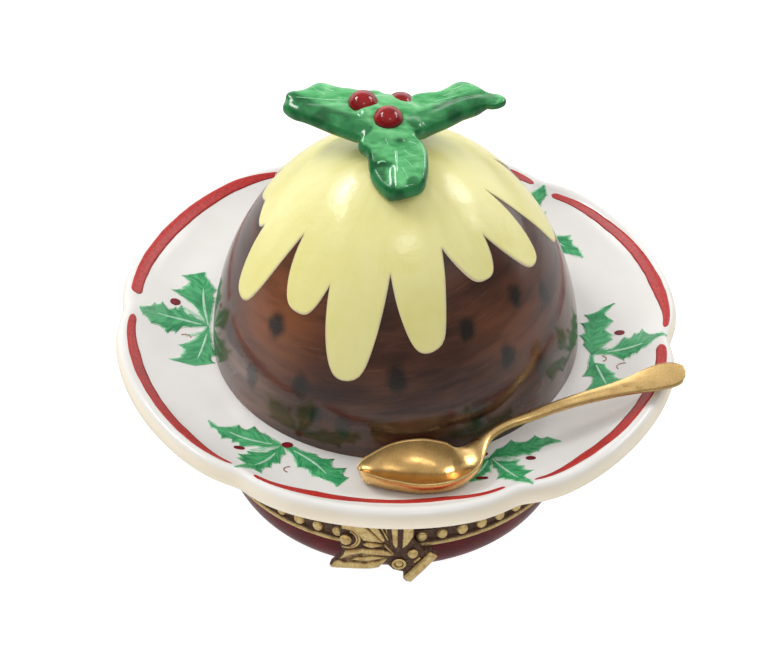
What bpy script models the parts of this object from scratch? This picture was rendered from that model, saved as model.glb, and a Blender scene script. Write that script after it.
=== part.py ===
"""A shut porcelain trinket box in the shape of a Christmas pudding on its plate.

Units are metres and +Z is up. The origin is the middle of the flat foot, the
clasp faces -Y and the hinge is at +Y. The foot and the lower bezel are the
box; the upper bezel, the plate and all that it carries are its lid.
"""
import math

import bmesh
import bpy
from mathutils import Matrix, Vector

MM = 0.001
GAP = 0.3 * MM                    # clearance between pieces that touch

# Heights above the table
SHOULDER_Z = 6.6 * MM             # top of the foot's outer wall
SPLIT_Z = 9.7 * MM                # where the lid meets the box
COLLAR_Z = 12.6 * MM              # lower edge of the plate's collar
LIP_LOW_Z = 21.5 * MM             # lower edge of the plate's lip
WELL_Z = 21.5 * MM                # top of the plate under the pudding
CREST_Z = 24.0 * MM               # top of the plate's rim

# Foot and bezels
FOOT_FLAT_R = 17.4 * MM
FOOT_R = 21.8 * MM
SPIGOT_R = 21.2 * MM              # solid cores inside the two bezels
BEZEL_R = 22.4 * MM
BEZEL_OUTER_R = 22.8 * MM         # over a bezel's raised edges

# Plate
CREST_R = 33.8 * MM
LIP_R = 34.9 * MM
LOBES = 6
NOTCH_DEPTH = 0.9 * MM
NOTCH_WIDTH = 6.0                 # degrees each side of a notch
LOBE_START_R = 25.0 * MM          # inside this radius the plate is round
LOBE_EXTRA = [0.4 * MM, 0, 0, -0.1 * MM, 0, 0.5 * MM]    # the lobes' reaches are uneven
RIM_RISE = 0.45 * MM              # the hand-made rim is higher on its -X side

# Pudding and custard
PUDDING_R = 22.6 * MM
PUDDING_H = 28.9 * MM
PUDDING_BULGE = 1.85              # 2 gives an ellipse, less gives a slimmer dome
CUSTARD_GAP = 1.5 * GAP           # its flat facets come nearer to the pudding than this
CUSTARD_THICKNESS = 0.4 * MM
# Each run of custard: the angle of its tip and the tip's height above the
# plate, then the angle and height of the notch that follows it.
DRIPS = [
    (-149.0, 13.6, -142.0, 23.3), (-122.0, 16.4, -116.5, 20.2),
    (-101.0, 10.5, -89.0, 22.4), (-73.0, 14.0, -61.5, 23.8),
    (-47.5, 19.4, -34.5, 23.8), (-20.5, 17.4, -8.5, 24.8),
    (7.5, 15.0, 31.5, 23.0), (47.0, 16.5, 60.0, 22.6),
    (76.0, 12.5, 90.0, 23.4), (104.0, 17.0, 117.0, 22.2),
    (132.0, 13.8, 147.0, 23.0), (161.0, 17.2, 177.5, 20.4),
    (185.0, 18.9, 191.5, 19.9),
]

# Holly sprig on top: each leaf's midrib on its upper face, root to tip, its
# half width, and how far its outline closes towards the tip (less is blunter)
SPRIG_LEAVES = [
    ([(0.4, 4.6, 53.4), (-7.2, 5.3, 54.5), (-14.5, 4.9, 54.2)], 4.8, 0.76),
    ([(-2.0, 4.2, 53.4), (5.9, 6.3, 54.7), (13.4, 8.1, 54.0)], 4.8, 0.82),
    ([(-1.2, 4.4, 53.8), (-0.1, -1.6, 53.4), (1.4, -8.5, 50.9)], 4.9, 0.71),
]
LEAF_THICKNESS = 1.9 * MM
BERRY_R = 1.9 * MM
BERRY_FLATNESS = 0.78
BERRIES = {
    "berry_front": (-1.2, 1.9, 54.6),
    "berry_left": (-4.1, 4.9, 54.3),
    "berry_right": (0.2, 6.2, 53.5),
}

# Gilt spoon: its middle line from the bowl's tip to the handle's end
SPOON_LINE = [
    (-2.7, -28.1, 24.8), (5.0, -27.2, 25.3), (11.2, -23.2, 24.7),
    (14.0, -20.2, 25.5), (17.4, -18.3, 26.4), (21.0, -16.5, 26.6),
    (26.0, -13.8, 25.8), (30.5, -11.2, 25.4), (36.0, -8.2, 25.8),
]
SPOON_BOWL_SHARE = 2 / (len(SPOON_LINE) - 1)    # the bowl's part of that line
BOWL_HALF_WIDTH = 4.1 * MM
BOWL_DEPTH = 1.9 * MM
BOWL_ROLL = 18.0                  # degrees, the bowl leans on the pudding
NECK_HALF_WIDTH = 0.8 * MM
HANDLE_END_HALF_WIDTH = 2.8 * MM
SPOON_THICKNESS = 0.7 * MM

# Clasp, laid out flat (across, up) from the split line, then wrapped
CLASP_R = 23.6 * MM               # radius of its middle surface
CLASP_THICKNESS = 1.1 * MM
CLASP_JOINT = (1.3, -3.0)
# angle of the midrib, length and half width of each leaf
CLASP_LEAVES = [(142.0, 8.2, 2.3), (88.0, 5.6, 1.7), (198.0, 8.4, 1.8)]
CLASP_BERRIES = [(-4.3, -1.0, 1.35), (2.0, -4.4, 1.1), (3.8, -2.6, 1.0)]
THUMB_BAR_R = 0.75 * MM
THUMB_BAR_ENDS = [(2.9, -7.4), (6.0, -3.4)]
STALK_R = 0.6 * MM

# Hinge barrel
HINGE_R = 1.3 * MM
HINGE_LENGTH = 12.0 * MM
KNUCKLES = 5
KNUCKLE_GROOVE = 0.25 * MM

TURN_STEPS = 40

MODEL = "christmas_pudding_box"   # collections
CUTTERS = "cutters"


def linear(red, green, blue):
    """An 8-bit display colour as Blender's linear RGBA."""
    channels = [c / 255 for c in (red, green, blue)]
    return [c / 12.92 if c < 0.04045 else ((c + 0.055) / 1.055) ** 2.4 for c in channels] + [1]


def material(name, colour, roughness, metallic=0.0):
    made = bpy.data.materials.get(name)
    if made is None:
        made = bpy.data.materials.new(name)
        made.use_nodes = True
        shader = made.node_tree.nodes["Principled BSDF"]
        shader.inputs["Base Color"].default_value = linear(*colour)
        shader.inputs["Roughness"].default_value = roughness
        shader.inputs["Metallic"].default_value = metallic
    return made


def maroon_glaze():
    return material("maroon_glaze", (88, 22, 30), 0.15)


def white_glaze():
    return material("white_glaze", (232, 228, 222), 0.12)


def pudding_glaze():
    return material("pudding_glaze", (84, 46, 36), 0.15)


def custard_glaze():
    return material("custard_glaze", (238, 232, 170), 0.15)


def green_glaze():
    return material("green_glaze", (60, 150, 88), 0.15)


def red_glaze():
    return material("red_glaze", (165, 28, 30), 0.12)


def aged_brass():
    return material("aged_brass", (176, 146, 88), 0.35, 1.0)


def gilding():
    return material("gilding", (212, 165, 80), 0.25, 1.0)


def collection(name):
    made = bpy.data.collections.get(name)
    if made is None:
        made = bpy.data.collections.new(name)
        bpy.context.scene.collection.children.link(made)
    return made


def add(name, mesh, finish, group=MODEL):
    obj = bpy.data.objects.new(name, mesh)
    collection(group).objects.link(obj)
    mesh.materials.append(finish)
    return obj


def smooth(mesh, angle=40.0):
    mesh.shade_smooth()
    mesh.set_sharp_from_angle(angle=math.radians(angle))


def evaluated_mesh(obj):
    bpy.context.view_layer.update()
    return bpy.data.meshes.new_from_object(obj.evaluated_get(bpy.context.evaluated_depsgraph_get()))


def turned(name, profile, finish, steps=TURN_STEPS, ring=False, group=MODEL):
    """Turns (radius, height) points about Z. A ring's profile is a closed loop."""
    count = len(profile)
    edges = [(i, (i + 1) % count) for i in range(count if ring else count - 1)]
    mesh = bpy.data.meshes.new(name)
    mesh.from_pydata([(radius, 0, z) for radius, z in profile], edges, [])
    obj = add(name, mesh, finish, group)
    screw = obj.modifiers.new("Turn", "SCREW")
    screw.steps = steps
    screw.render_steps = steps
    screw.use_merge_vertices = True
    screw.merge_threshold = 0.00001
    return obj


def applied(obj):
    """Replaces the object's mesh by its evaluated one, and drops the modifiers."""
    mesh = evaluated_mesh(obj)
    obj.modifiers.clear()
    obj.data = mesh
    return obj


def catmull(points, share):
    """A point on a smooth curve through all the points; share runs from 0 to 1."""
    spans = len(points) - 1
    place = min(max(share, 0.0), 1.0) * spans
    index = min(int(place), spans - 1)
    t = place - index
    p1, p2 = points[index], points[index + 1]
    p0 = points[index - 1] if index else p1 * 2 - p2
    p3 = points[index + 2] if index + 2 < len(points) else p2 * 2 - p1
    return (p1 * 2 + (p2 - p0) * t + (p0 * 2 - p1 * 5 + p2 * 4 - p3) * t ** 2
            + (p1 * 3 - p0 - p2 * 3 + p3) * t ** 3) / 2


def quadratic(points, share):
    """A point on the arc that leaves the first point and reaches the last."""
    start, middle, end = points
    bow = middle * 2 - (start + end) / 2
    return start * (1 - share) ** 2 + bow * 2 * share * (1 - share) + end * share ** 2


def swept_sheet(line, half_width, dish, roll, along, across):
    """A sheet that follows line(share). Its cells run along it and across it.

    half_width(share) is half its width, dish(share, side) its fall below the
    edge, and roll(share) turns it about its own line, in degrees.
    """
    sheet = bmesh.new()
    bmesh.ops.create_grid(sheet, x_segments=along, y_segments=across, size=0.5)
    for vert in sheet.verts:
        share, side = vert.co.x + 0.5, vert.co.y * 2
        tangent = (line(share + 0.01) - line(share - 0.01)).normalized()
        sideways = Vector((0, 0, 1)).cross(tangent).normalized()
        sideways = Matrix.Rotation(math.radians(roll(share)), 3, tangent) @ sideways
        upward = tangent.cross(sideways)
        vert.co = line(share) + sideways * side * half_width(share) - upward * dish(share, side)
    return sheet


def mesh_from(sheet, name):
    mesh = bpy.data.meshes.new(name)
    sheet.to_mesh(mesh)
    sheet.free()
    return mesh


def thicken(obj, thickness, upward=False, levels=0):
    """Solidifies a sheet, and rounds it when levels is above 0."""
    solid = obj.modifiers.new("Thickness", "SOLIDIFY")
    solid.thickness = thickness
    solid.offset = 1 if upward else -1
    if levels:
        rounding = obj.modifiers.new("Rounding", "SUBSURF")
        rounding.levels = levels
        rounding.render_levels = levels


def combine(obj, other, operation):
    """Joins the other object to this one, or cuts it away, and hides it."""
    other.hide_render = True
    other.display_type = "WIRE"
    boolean = obj.modifiers.new(operation.title(), "BOOLEAN")
    boolean.operation = operation
    boolean.object = other


# Box, lid and plate

def make_foot():
    """The maroon bowl under the lower bezel, with a solid core up to the split."""
    top_z = SPLIT_Z - GAP / 2
    arcs = 5
    wall = []
    for i in range(arcs + 1):
        share = 1 - i / arcs
        reach = math.sqrt(1 - (1 - share) ** 2)
        wall.append((FOOT_FLAT_R + (FOOT_R - FOOT_FLAT_R) * reach, SHOULDER_Z * share))
    profile = [(0, top_z), (SPIGOT_R, top_z), (SPIGOT_R, SHOULDER_Z), *wall, (0, 0)]
    turned("foot", profile, maroon_glaze())


def bezel_profile(low_z, high_z):
    """A brass hoop with a raised edge along its top and its bottom."""
    inner = SPIGOT_R + GAP
    outer = BEZEL_OUTER_R
    edge = 0.45 * MM
    return [(inner, high_z), (outer, high_z), (outer, high_z - edge), (BEZEL_R, high_z - 1.5 * edge),
            (BEZEL_R, low_z + 1.5 * edge), (outer, low_z + edge), (outer, low_z), (inner, low_z)]


def make_bezels():
    lower = bezel_profile(SHOULDER_Z + GAP, SPLIT_Z - GAP / 2)
    upper = bezel_profile(SPLIT_Z + GAP / 2, COLLAR_Z - GAP)
    turned("lower_bezel", lower, aged_brass(), ring=True)
    turned("upper_bezel", upper, aged_brass(), ring=True)


def notch(angle):
    """1 in a notch between two lobes, falling to 0 along each lobe."""
    pitch = 360 / LOBES
    away = abs((math.degrees(angle) + pitch / 2) % pitch - pitch / 2)
    return math.exp(-(away / NOTCH_WIDTH) ** 1.5)


def make_plate():
    """A turned plate whose rim is then pressed into lobes."""
    foot_z = SPLIT_Z + GAP / 2
    lip = [(CREST_R - 1.2 * MM, CREST_Z - 0.5 * MM), (CREST_R, CREST_Z),
           (LIP_R - 0.35 * MM, CREST_Z - 0.5 * MM), (LIP_R, CREST_Z - 1.5 * MM),
           (LIP_R - 0.3 * MM, LIP_LOW_Z), (LIP_R - 1.5 * MM, LIP_LOW_Z - 0.6 * MM)]
    top = [(0, WELL_Z), (PUDDING_R + 1 * MM, WELL_Z), (28.5 * MM, WELL_Z + 0.5 * MM)]
    under = [(28.0 * MM, 17.4 * MM), (24.5 * MM, 14.4 * MM), (BEZEL_R + 0.2 * MM, COLLAR_Z)]
    core = [(SPIGOT_R, COLLAR_Z), (SPIGOT_R, foot_z), (0, foot_z)]
    plate = applied(turned("plate", top + lip + under + core, white_glaze(), steps=60))
    for vert in plate.data.vertices:
        radius = math.hypot(vert.co.x, vert.co.y)
        share = (radius - LOBE_START_R) / (LIP_R - LOBE_START_R)
        if share <= 0:
            continue
        angle = math.atan2(vert.co.y, vert.co.x)
        lobe = int(math.degrees(angle) % 360 * LOBES / 360)
        reach = LOBE_EXTRA[lobe] * (1 - notch(angle)) - NOTCH_DEPTH * notch(angle)
        pressed = 1 + reach * share ** 0.5 / radius
        vert.co.x *= pressed
        vert.co.y *= pressed
        vert.co.z -= RIM_RISE * math.cos(angle) * share
    smooth(plate.data, 50)


def make_hinge():
    """The barrel behind the split line, grooved between its knuckles."""
    knuckle = HINGE_LENGTH / KNUCKLES
    groove = 0.2 * MM
    profile = [(0, HINGE_LENGTH / 2)]
    for i in range(KNUCKLES):
        top = HINGE_LENGTH / 2 - i * knuckle
        profile += [(HINGE_R - KNUCKLE_GROOVE, top), (HINGE_R, top - groove),
                    (HINGE_R, top - knuckle + groove)]
    profile += [(HINGE_R - KNUCKLE_GROOVE, -HINGE_LENGTH / 2), (0, -HINGE_LENGTH / 2)]
    hinge = turned("hinge", profile, aged_brass(), steps=12)
    hinge.rotation_euler = (0, math.radians(90), 0)
    hinge.location = (0, BEZEL_OUTER_R + GAP + HINGE_R, SPLIT_Z)


# Clasp

def wrapped(across, up, outward):
    """A point of the flat clasp, wrapped round the bezels at -Y."""
    angle = across / CLASP_R
    radius = CLASP_R + outward
    return Vector((radius * math.sin(angle), -radius * math.cos(angle), SPLIT_Z + up))


def holly_reach(share, teeth, closing=0.80):
    """Half the width of a holly leaf from root (0) to tip (1), from 0 to 1."""
    body = math.sin(math.pi * (0.13 + closing * share)) ** 0.75
    return body * (0.82 + 0.18 * math.cos(2 * math.pi * (teeth * share - 0.18)))


def clasp_leaf(index, direction, length, half_width):
    """A flat leaf from the clasp's middle, wrapped with the clasp."""
    sheet = bmesh.new()
    bmesh.ops.create_grid(sheet, x_segments=7, y_segments=2, size=0.5)
    turn = math.radians(direction)
    for vert in sheet.verts:
        share, side = vert.co.x + 0.5, vert.co.y * 2
        forward = share * length * MM
        sideways = side * half_width * MM * holly_reach(share, 3.0)
        across = CLASP_JOINT[0] * MM + forward * math.cos(turn) - sideways * math.sin(turn)
        up = CLASP_JOINT[1] * MM + forward * math.sin(turn) + sideways * math.cos(turn)
        vert.co = wrapped(across, up, CLASP_THICKNESS / 2 + 0.25 * MM * (1 - abs(side)))
    leaf = add(f"clasp_leaf_{index}", mesh_from(sheet, "clasp_leaf"), aged_brass(), CUTTERS)
    thicken(leaf, CLASP_THICKNESS)
    return leaf


def clasp_ball(index, across, up, radius):
    ball = bmesh.new()
    bmesh.ops.create_uvsphere(ball, u_segments=10, v_segments=6, radius=radius * MM)
    made = add(f"clasp_ball_{index}", mesh_from(ball, "clasp_ball"), aged_brass(), CUTTERS)
    made.location = wrapped(across * MM, up * MM, radius * 0.2 * MM)
    return made


def clasp_rod(label, start, end, radius, outward):
    """A round bar between two points of the flat clasp."""
    low = wrapped(start[0] * MM, start[1] * MM, outward)
    high = wrapped(end[0] * MM, end[1] * MM, outward)
    rod = bmesh.new()
    bmesh.ops.create_cone(rod, cap_ends=True, segments=8, radius1=radius, radius2=radius,
                          depth=(high - low).length)
    made = add(f"clasp_{label}", mesh_from(rod, "clasp_rod"), aged_brass(), CUTTERS)
    made.location = (low + high) / 2
    made.rotation_euler = (high - low).to_track_quat("Z", "Y").to_euler()
    return made


def make_clasp():
    """A cast holly sprig over both bezels, with a thumb bar below it."""
    parts = [clasp_leaf(i, *leaf) for i, leaf in enumerate(CLASP_LEAVES)]
    parts += [clasp_ball(i, *berry) for i, berry in enumerate(CLASP_BERRIES)]
    bar_middle = [(a + b) / 2 for a, b in zip(*THUMB_BAR_ENDS)]
    parts.append(clasp_rod("bar", *THUMB_BAR_ENDS, THUMB_BAR_R, 0.4 * MM))
    stalk_ends = [bar_middle] + [berry[:2] for berry in CLASP_BERRIES]
    for i, end in enumerate(stalk_ends):
        parts.append(clasp_rod(f"stalk_{i}", CLASP_JOINT, end, STALK_R, 0.0))
    core = bmesh.new()
    bmesh.ops.create_uvsphere(core, u_segments=10, v_segments=6, radius=1.3 * MM)
    clasp = add("clasp", mesh_from(core, "clasp"), aged_brass())
    clasp.location = wrapped(CLASP_JOINT[0] * MM, CLASP_JOINT[1] * MM, -0.1 * MM)
    for part in parts:
        combine(clasp, part, "UNION")
    seat = bmesh.new()
    bmesh.ops.create_cone(seat, cap_ends=True, segments=TURN_STEPS, depth=2 * SPLIT_Z,
                          radius1=BEZEL_OUTER_R + GAP, radius2=BEZEL_OUTER_R + GAP)
    band = add("clasp_seat", mesh_from(seat, "clasp_seat"), aged_brass(), CUTTERS)
    band.location.z = SPLIT_Z
    combine(clasp, band, "DIFFERENCE")


# Pudding and custard

def dome_point(share, grow=0.0):
    """(radius, height over the plate) on the dome: share 0 is its top, 1 its foot."""
    turn = share * math.pi / 2
    radius = (PUDDING_R + grow) * math.sin(turn)
    return radius, (PUDDING_H + grow) * max(math.cos(turn), 0.0) ** (2 / PUDDING_BULGE)


def dome_share(height):
    """The share at which the dome has this height over the plate."""
    return math.acos((height / PUDDING_H) ** (PUDDING_BULGE / 2)) / (math.pi / 2)


def dome(name, grow, finish, group=MODEL):
    """The whole solid dome, standing on the plate."""
    base_z = WELL_Z + GAP
    rings = 10
    profile = [dome_point(i / rings, grow) for i in range(rings + 1)]
    profile = [(radius, base_z + height) for radius, height in profile]
    return turned(name, profile + [(0, base_z)], finish, group=group)


def custard_edge():
    """(angle, height) all round the custard's lower edge."""
    half_steps = 3
    edge = []
    last_notch = (DRIPS[-1][2] - 360, DRIPS[-1][3])
    for tip_angle, tip_height, notch_angle, notch_height in DRIPS:
        for start, (far_angle, far_height) in ((1, last_notch), (0, (notch_angle, notch_height))):
            for i in range(half_steps):
                away = 1 - i / half_steps if start else i / half_steps
                height = tip_height + (far_height - tip_height) * away ** 2.6
                edge.append((tip_angle + (far_angle - tip_angle) * away, height * MM))
        last_notch = (notch_angle, notch_height)
    return edge


def custard_share(edge_share, down):
    """The dome share of a row of the coat: level over the crown, then fanned out."""
    crown_share, crown_rows = 0.27, 0.4
    if down < crown_rows:
        return crown_share * down / crown_rows
    return crown_share + (edge_share - crown_share) * (down - crown_rows) / (1 - crown_rows)


def make_custard():
    """A thin coat from the top of the dome down to a run-down lower edge."""
    edge = custard_edge()
    rows = 7
    base_z = WELL_Z + GAP
    coat = bmesh.new()
    bmesh.ops.create_grid(coat, x_segments=len(edge), y_segments=rows, size=0.5)
    for vert in coat.verts:
        column = round((vert.co.x + 0.5) * len(edge)) % len(edge)
        angle = math.radians(edge[column][0])
        share = custard_share(dome_share(edge[column][1]), vert.co.y + 0.5)
        radius, height = dome_point(share, CUSTARD_GAP)
        vert.co = (radius * math.cos(angle), radius * math.sin(angle), base_z + height)
    bmesh.ops.remove_doubles(coat, verts=coat.verts, dist=0.00001)
    bmesh.ops.recalc_face_normals(coat, faces=coat.faces)
    bmesh.ops.triangulate(coat, faces=coat.faces, quad_method="SHORT_EDGE")
    custard = add("custard", mesh_from(coat, "custard"), custard_glaze())
    shell = custard.modifiers.new("Coat", "SOLIDIFY")
    shell.thickness = CUSTARD_THICKNESS
    shell.offset = 1


# Holly sprig

def sprig_leaf(name, points, width, closing, group):
    """A thick moulded leaf that droops a little from its midrib to its edges."""
    points = [Vector(p) * MM for p in points]

    def half_width(share):
        return width * MM * holly_reach(share, 2.0, closing)

    def dish(share, side):
        return 0.5 * MM * side * side

    sheet = swept_sheet(lambda share: quadratic(points, share), half_width, dish,
                        lambda share: 0.0, 8, 2)
    leaf = add(name, mesh_from(sheet, name), green_glaze(), group)
    thicken(leaf, LEAF_THICKNESS, levels=1)
    return leaf


def berry(name, place, radius, finish, group):
    """A berry, flatter than it is wide."""
    ball = bmesh.new()
    bmesh.ops.create_uvsphere(ball, u_segments=12, v_segments=7, radius=radius)
    bmesh.ops.scale(ball, vec=(1, 1, BERRY_FLATNESS), verts=ball.verts)
    made = add(name, mesh_from(ball, name), finish, group)
    made.location = Vector(place) * MM
    smooth(made.data)
    return made


def make_sprig():
    """Three leaves moulded as one piece, with three berries sunk in the middle."""
    first, *others = SPRIG_LEAVES
    sprig = sprig_leaf("holly_sprig", *first, MODEL)
    for i, leaf in enumerate(others):
        combine(sprig, sprig_leaf(f"sprig_leaf_{i}", *leaf, CUTTERS), "UNION")
    for name, place in BERRIES.items():
        berry(name, place, BERRY_R, red_glaze(), MODEL)
        socket = berry(f"{name}_socket", place, BERRY_R + 1.3 * GAP, green_glaze(), CUTTERS)
        combine(sprig, socket, "DIFFERENCE")
    seat = dome("sprig_seat", CUSTARD_GAP + CUSTARD_THICKNESS + GAP, green_glaze(), CUTTERS)
    combine(sprig, seat, "DIFFERENCE")


# Spoon

def make_spoon():
    """A gilt spoon: a dished bowl, a thin neck and a handle that widens."""
    points = [Vector(p) * MM for p in SPOON_LINE]
    split = SPOON_BOWL_SHARE

    def half_width(share):
        if share < split:
            bowl = math.sin(math.pi * (0.02 + 0.98 * share / split) ** 1.1) ** 0.48
            return NECK_HALF_WIDTH * share / split + (BOWL_HALF_WIDTH - NECK_HALF_WIDTH / 2) * bowl
        handle = (share - split) / (1 - split)
        widening = (HANDLE_END_HALF_WIDTH - NECK_HALF_WIDTH) * max(handle - 0.25, 0) / 0.75
        end = max(handle - 0.9, 0) / 0.107
        return (NECK_HALF_WIDTH + widening) * math.sqrt(1 - end ** 2)

    def dish(share, side):
        if share >= split:
            return SPOON_THICKNESS
        return SPOON_THICKNESS + BOWL_DEPTH * math.sin(math.pi * share / split) ** 0.8 * (1 - side ** 2)

    def roll(share):
        return BOWL_ROLL * max(0.0, 1 - share / (split * 1.3))

    sheet = swept_sheet(lambda share: catmull(points, share), half_width, dish, roll, 24, 4)
    spoon = add("spoon", mesh_from(sheet, "spoon"), gilding())
    thicken(spoon, SPOON_THICKNESS, upward=True)


def clear_scene():
    for obj in list(bpy.data.objects):
        bpy.data.objects.remove(obj, do_unlink=True)


def main():
    clear_scene()
    make_foot()
    make_bezels()
    make_plate()
    make_hinge()
    make_clasp()
    dome("pudding", 0.0, pudding_glaze())
    make_custard()
    make_sprig()
    make_spoon()


main()
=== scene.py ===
"""The looks of the porcelain Christmas pudding box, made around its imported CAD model.

Lengths are in millimetres inside this script, and are scaled to metres when a
mesh is made. +Z is up, the clasp faces -Y and the hinge is at +Y.
"""

import math

import bmesh
import bpy
from mathutils import Matrix, Vector, noise
from mathutils.bvhtree import BVHTree
from mathutils.geometry import delaunay_2d_cdt
from mathutils.kdtree import KDTree


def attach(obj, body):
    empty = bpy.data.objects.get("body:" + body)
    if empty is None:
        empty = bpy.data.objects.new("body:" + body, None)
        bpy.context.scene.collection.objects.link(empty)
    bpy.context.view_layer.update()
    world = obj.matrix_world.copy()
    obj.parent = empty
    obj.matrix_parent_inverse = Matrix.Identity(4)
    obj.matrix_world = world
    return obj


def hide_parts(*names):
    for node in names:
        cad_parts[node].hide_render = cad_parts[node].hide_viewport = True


MM = 0.001
TAU = 2 * math.pi

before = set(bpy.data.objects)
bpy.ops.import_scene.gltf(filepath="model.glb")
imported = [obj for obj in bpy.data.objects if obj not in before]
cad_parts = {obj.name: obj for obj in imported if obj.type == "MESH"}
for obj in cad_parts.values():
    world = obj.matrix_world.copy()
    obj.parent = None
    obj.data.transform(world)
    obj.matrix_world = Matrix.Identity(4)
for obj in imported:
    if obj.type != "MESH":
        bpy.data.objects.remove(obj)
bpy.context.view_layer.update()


# ---------------------------------------------------------------- geometry

def catmull(points, share):
    """A point on a smooth curve through all the points; share runs from 0 to 1."""
    spans = len(points) - 1
    place = min(max(share, 0.0), 1.0) * spans
    index = min(int(place), spans - 1)
    t = place - index
    p1, p2 = points[index], points[index + 1]
    p0 = points[index - 1] if index else p1 * 2 - p2
    p3 = points[index + 2] if index + 2 < len(points) else p2 * 2 - p1
    return (p1 * 2 + (p2 - p0) * t + (p0 * 2 - p1 * 5 + p2 * 4 - p3) * t ** 2
            + (p1 * 3 - p0 - p2 * 3 + p3) * t ** 3) / 2


def smooth_path(points, steps):
    """The points with steps smooth spans between each two of them."""
    points = [Vector(p) for p in points]
    count = (len(points) - 1) * steps
    return [catmull(points, i / count) for i in range(count + 1)]


def quadratic(points, share):
    """A point on the arc that leaves the first point and reaches the last."""
    start, middle, end = points
    bow = middle * 2 - (start + end) / 2
    return start * (1 - share) ** 2 + bow * 2 * share * (1 - share) + end * share ** 2


def between(table, place):
    """Reads a list of (place, value) pairs, eased between them."""
    if place <= table[0][0]:
        return table[0][1]
    for (x0, y0), (x1, y1) in zip(table, table[1:]):
        if place <= x1:
            t = (place - x0) / (x1 - x0)
            t = t * t * (3 - 2 * t) * 0.5 + t * 0.5
            return y0 + (y1 - y0) * t
    return table[-1][1]


def bell(value, width):
    """1 where value is 0, falling smoothly to 0 each way."""
    return math.exp(-(value / width) ** 2)


def ramp01(value, low, high):
    """0 up to low and 1 from high on, eased between them."""
    t = min(max((value - low) / (high - low), 0.0), 1.0)
    return t * t * (3 - 2 * t)


def lumps(point, size, seed=0.0):
    """Smooth noise from about -1 to 1, with lumps of the given size."""
    return noise.noise(Vector(point) / size + Vector((seed, seed * 1.7, -seed)))


def turns(steps):
    """The angles of a full turn in equal steps."""
    return [TAU * k / steps for k in range(steps)]


def densify(outline, step):
    """A closed outline with no two points further apart than step."""
    points = []
    for start, end in zip(outline, outline[1:] + outline[:1]):
        start, end = Vector(start), Vector(end)
        count = max(1, math.ceil((end - start).length / step))
        points += [start.lerp(end, i / count) for i in range(count)]
    return points


def rounded(outline, steps):
    """A smooth closed curve through the points of an outline."""
    points = [Vector(p) for p in outline]
    loop = [points[-1]] + points + points[:2]
    count = len(points)
    return [catmull(loop, (1 + i / steps) / (count + 2)) for i in range(count * steps)]


def inside(point, outline):
    """Whether a point lies in a closed outline."""
    crossings = 0
    for start, end in zip(outline, outline[1:] + outline[:1]):
        if (start.y > point.y) != (end.y > point.y):
            if point.x < start.x + (point.y - start.y) / (end.y - start.y) * (end.x - start.x):
                crossings += 1
    return crossings % 2 == 1


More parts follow.
